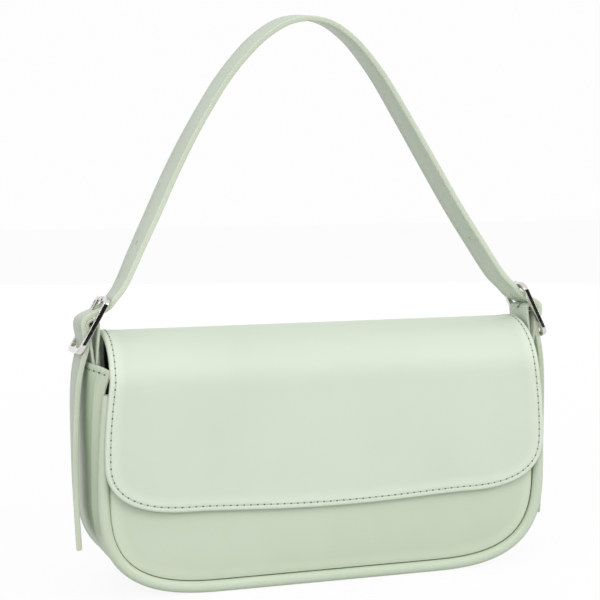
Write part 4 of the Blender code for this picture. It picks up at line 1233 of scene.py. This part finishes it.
def make_buckles():
    """Polished frames with their centre bars, and the prongs that turn on them."""
    length = STRAP_WIDTH + 2 * FRAME_SIDE_GAP + FRAME_BAR
    for side, reach in SIDES:
        ring = buckle_ring()
        turn = Matrix.Rotation(math.pi / 2, 4, "X")
        bmesh.ops.create_cone(ring, cap_ends=True, segments=TURN_STEPS, depth=length,
                              radius1=CENTRE_BAR_RADIUS, radius2=CENTRE_BAR_RADIUS, matrix=turn)
        seat_on_bar(ring, reach)
        finish_piece(side + "_buckle_polished", ring, [NICKEL], "strap",
                     [side + "_buckle_frame"])
        prong = prong_wire()
        seat_on_bar(prong, reach)
        finish_piece(side + "_prong_polished", prong, [NICKEL], side + "_prong",
                     [side + "_prong"])


def prong_wire():
    """Flattened wire bent round the centre bar, with its rounded tip on the top bar."""
    radius = CENTRE_BAR_RADIUS + SEAM_GAP + PRONG_WIRE / 2
    reach = FRAME_LENGTH / 2 + PRONG_OVERHANG
    sections = []
    for step in range(TURN_STEPS):
        angle = -PRONG_WRAP * (1 - step / TURN_STEPS)
        outward = (math.cos(angle), math.sin(angle))
        centre = (radius * outward[0], radius * outward[1])
        sections.append(wire_section(centre, outward, 1.0))
    for share, taper in PRONG_SHANK_SHARES:
        sections.append(wire_section((radius, reach * share), (1.0, 0.0), taper))
    return sweep(sections)[0]


def wire_section(centre, outward, taper):
    """A flattened round section across the wire."""
    wide = (PRONG_TIP_WIDTH + (PRONG_WIDTH - PRONG_TIP_WIDTH) * taper) / 2
    thick = PRONG_WIRE / 2 * math.sqrt(taper)
    ring = []
    for side in range(WIRE_SIDES):
        angle = 2 * math.pi * side / WIRE_SIDES
        across, out = [math.copysign(abs(share) ** WIRE_SQUARENESS, share)
                       for share in (math.cos(angle), math.sin(angle))]
        ring.append((centre[0] + outward[0] * thick * out, wide * across,
                     centre[1] + outward[1] * thick * out))
    return ring


def finish_hidden_nodes():
    """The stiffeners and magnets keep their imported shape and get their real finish."""
    for name in ("front_board", "back_board", "base_board", "flap_stiffener", "magnet_body",
                 "magnet_flap"):
        materials = frame["nodes"][name].data.materials
        materials.clear()
        materials.append(MAGNET_STEEL if name.startswith("magnet") else BOARD)


def make_studio():
    """White paper floor, soft light from the front, sides and back, and the camera."""
    paper = bmesh.new()
    bmesh.ops.create_grid(paper, x_segments=1, y_segments=1, size=FLOOR_HALF_WIDTH)
    floor = new_object("paper_floor", paper)
    floor.data.materials.append(white_paper())
    world = bpy.data.worlds.new("studio")
    bpy.context.scene.world = world
    world.use_nodes = True
    tree = world.node_tree
    strength = spread(tree, seen_share(tree), *WORLD_STRENGTHS)
    fill(tree, tree.nodes["Background"], {"Color": (1.0, 1.0, 1.0, 1.0), "Strength": strength})
    for softbox in SOFTBOXES:
        add_softbox(*softbox)
    for card in DARK_CARDS:
        add_dark_card(*card)
    camera_data = bpy.data.cameras.new("camera")
    camera_data.sensor_width = SENSOR_WIDTH
    camera_data.lens = SENSOR_WIDTH * FOCAL_PIXELS / IMAGE_PIXELS
    camera = bpy.data.objects.new("camera", camera_data)
    bpy.context.collection.objects.link(camera)
    camera.matrix_world = Matrix.Translation(CAMERA_PLACE) @ camera_turn().to_4x4()
    bpy.context.scene.camera = camera
    bpy.context.scene.view_settings.view_transform = "Standard"


def camera_turn():
    """The camera's rotation from its yaw, dip and roll."""
    forward = Vector((math.sin(CAMERA_YAW) * math.cos(CAMERA_DIP),
                      math.cos(CAMERA_YAW) * math.cos(CAMERA_DIP), -math.sin(CAMERA_DIP)))
    right = Vector((math.cos(CAMERA_YAW), -math.sin(CAMERA_YAW), 0.0))
    up = right.cross(forward)
    level = right * math.cos(CAMERA_ROLL) + up * math.sin(CAMERA_ROLL)
    upright = up * math.cos(CAMERA_ROLL) - right * math.sin(CAMERA_ROLL)
    return Matrix((level, upright, -forward)).transposed()


def add_softbox(name, place, watts, mirrored):
    """A square soft light aimed at the middle of the bag."""
    light = bpy.data.lights.new(name, "AREA")
    light.size = SOFTBOX_SIZE
    light.energy = watts
    lamp = bpy.data.objects.new(name, light)
    bpy.context.collection.objects.link(lamp)
    lamp.location = place
    aim = Vector((0, 0, RIDGE_HEIGHT)) - Vector(place)
    lamp.rotation_euler = aim.to_track_quat("-Z", "Y").to_euler()
    lamp.visible_glossy = mirrored


def add_dark_card(name, size, place, turn, darkens):
    """An upright black card that the camera does not see, dark in what mirrors it."""
    card = bmesh.new()
    upright = Matrix.Rotation(turn, 4, "Z") @ Matrix.Rotation(math.pi / 2, 4, "X")
    spot = Matrix.Translation(place) @ upright @ Matrix.Diagonal((*size, 1.0, 1.0))
    bmesh.ops.create_grid(card, x_segments=1, y_segments=1, size=0.5, matrix=spot)
    solid = new_object(name, card)
    solid.data.materials.append(BLACK_FLOCK)
    solid.visible_camera = False
    solid.visible_diffuse = darkens
    solid.visible_shadow = False


def seen_share(tree):
    """1 where the eye, a mirror or a clear solid looks straight at a background, else 0."""
    rays = add_node(tree, "LightPath", {}).outputs
    mirrored = join(tree, "MAXIMUM", rays["Is Glossy Ray"], rays["Is Transmission Ray"])
    return join(tree, "MAXIMUM", rays["Is Camera Ray"], mirrored)


def white_paper():
    """Seamless white paper: clean white to the eye, with only a breath of shadow."""
    material, tree, shader, _ = start_material("white_paper")
    seen = seen_share(tree)
    base = blend_colours(tree, seen, linear("#bcbcbc"), linear("#fbfbfb"))
    fill(tree, shader, {"Base Color": base, "Roughness": 0.9})
    glow = add_node(tree, "Emission", {"Strength": 1.0})
    mix = add_node(tree, "MixShader", {0: join(tree, "MULTIPLY", seen, FLOOR_GLOW),
                                       1: shader.outputs["BSDF"], 2: glow.outputs["Emission"]})
    fill(tree, tree.nodes["Material Output"], {"Surface": mix.outputs["Shader"]})
    return material


make_panels()
make_piping("front_piping", lambda height: FRONT_SEAM_Y, FRONT_TOP)
make_piping("back_piping", back_seam_y, BACK_TOP)
make_gusset()
make_gusset_stitches()
make_flap()
make_lining_bag()
make_pocket()
make_strap()
make_tabs()
make_buckles()
finish_hidden_nodes()
make_studio()
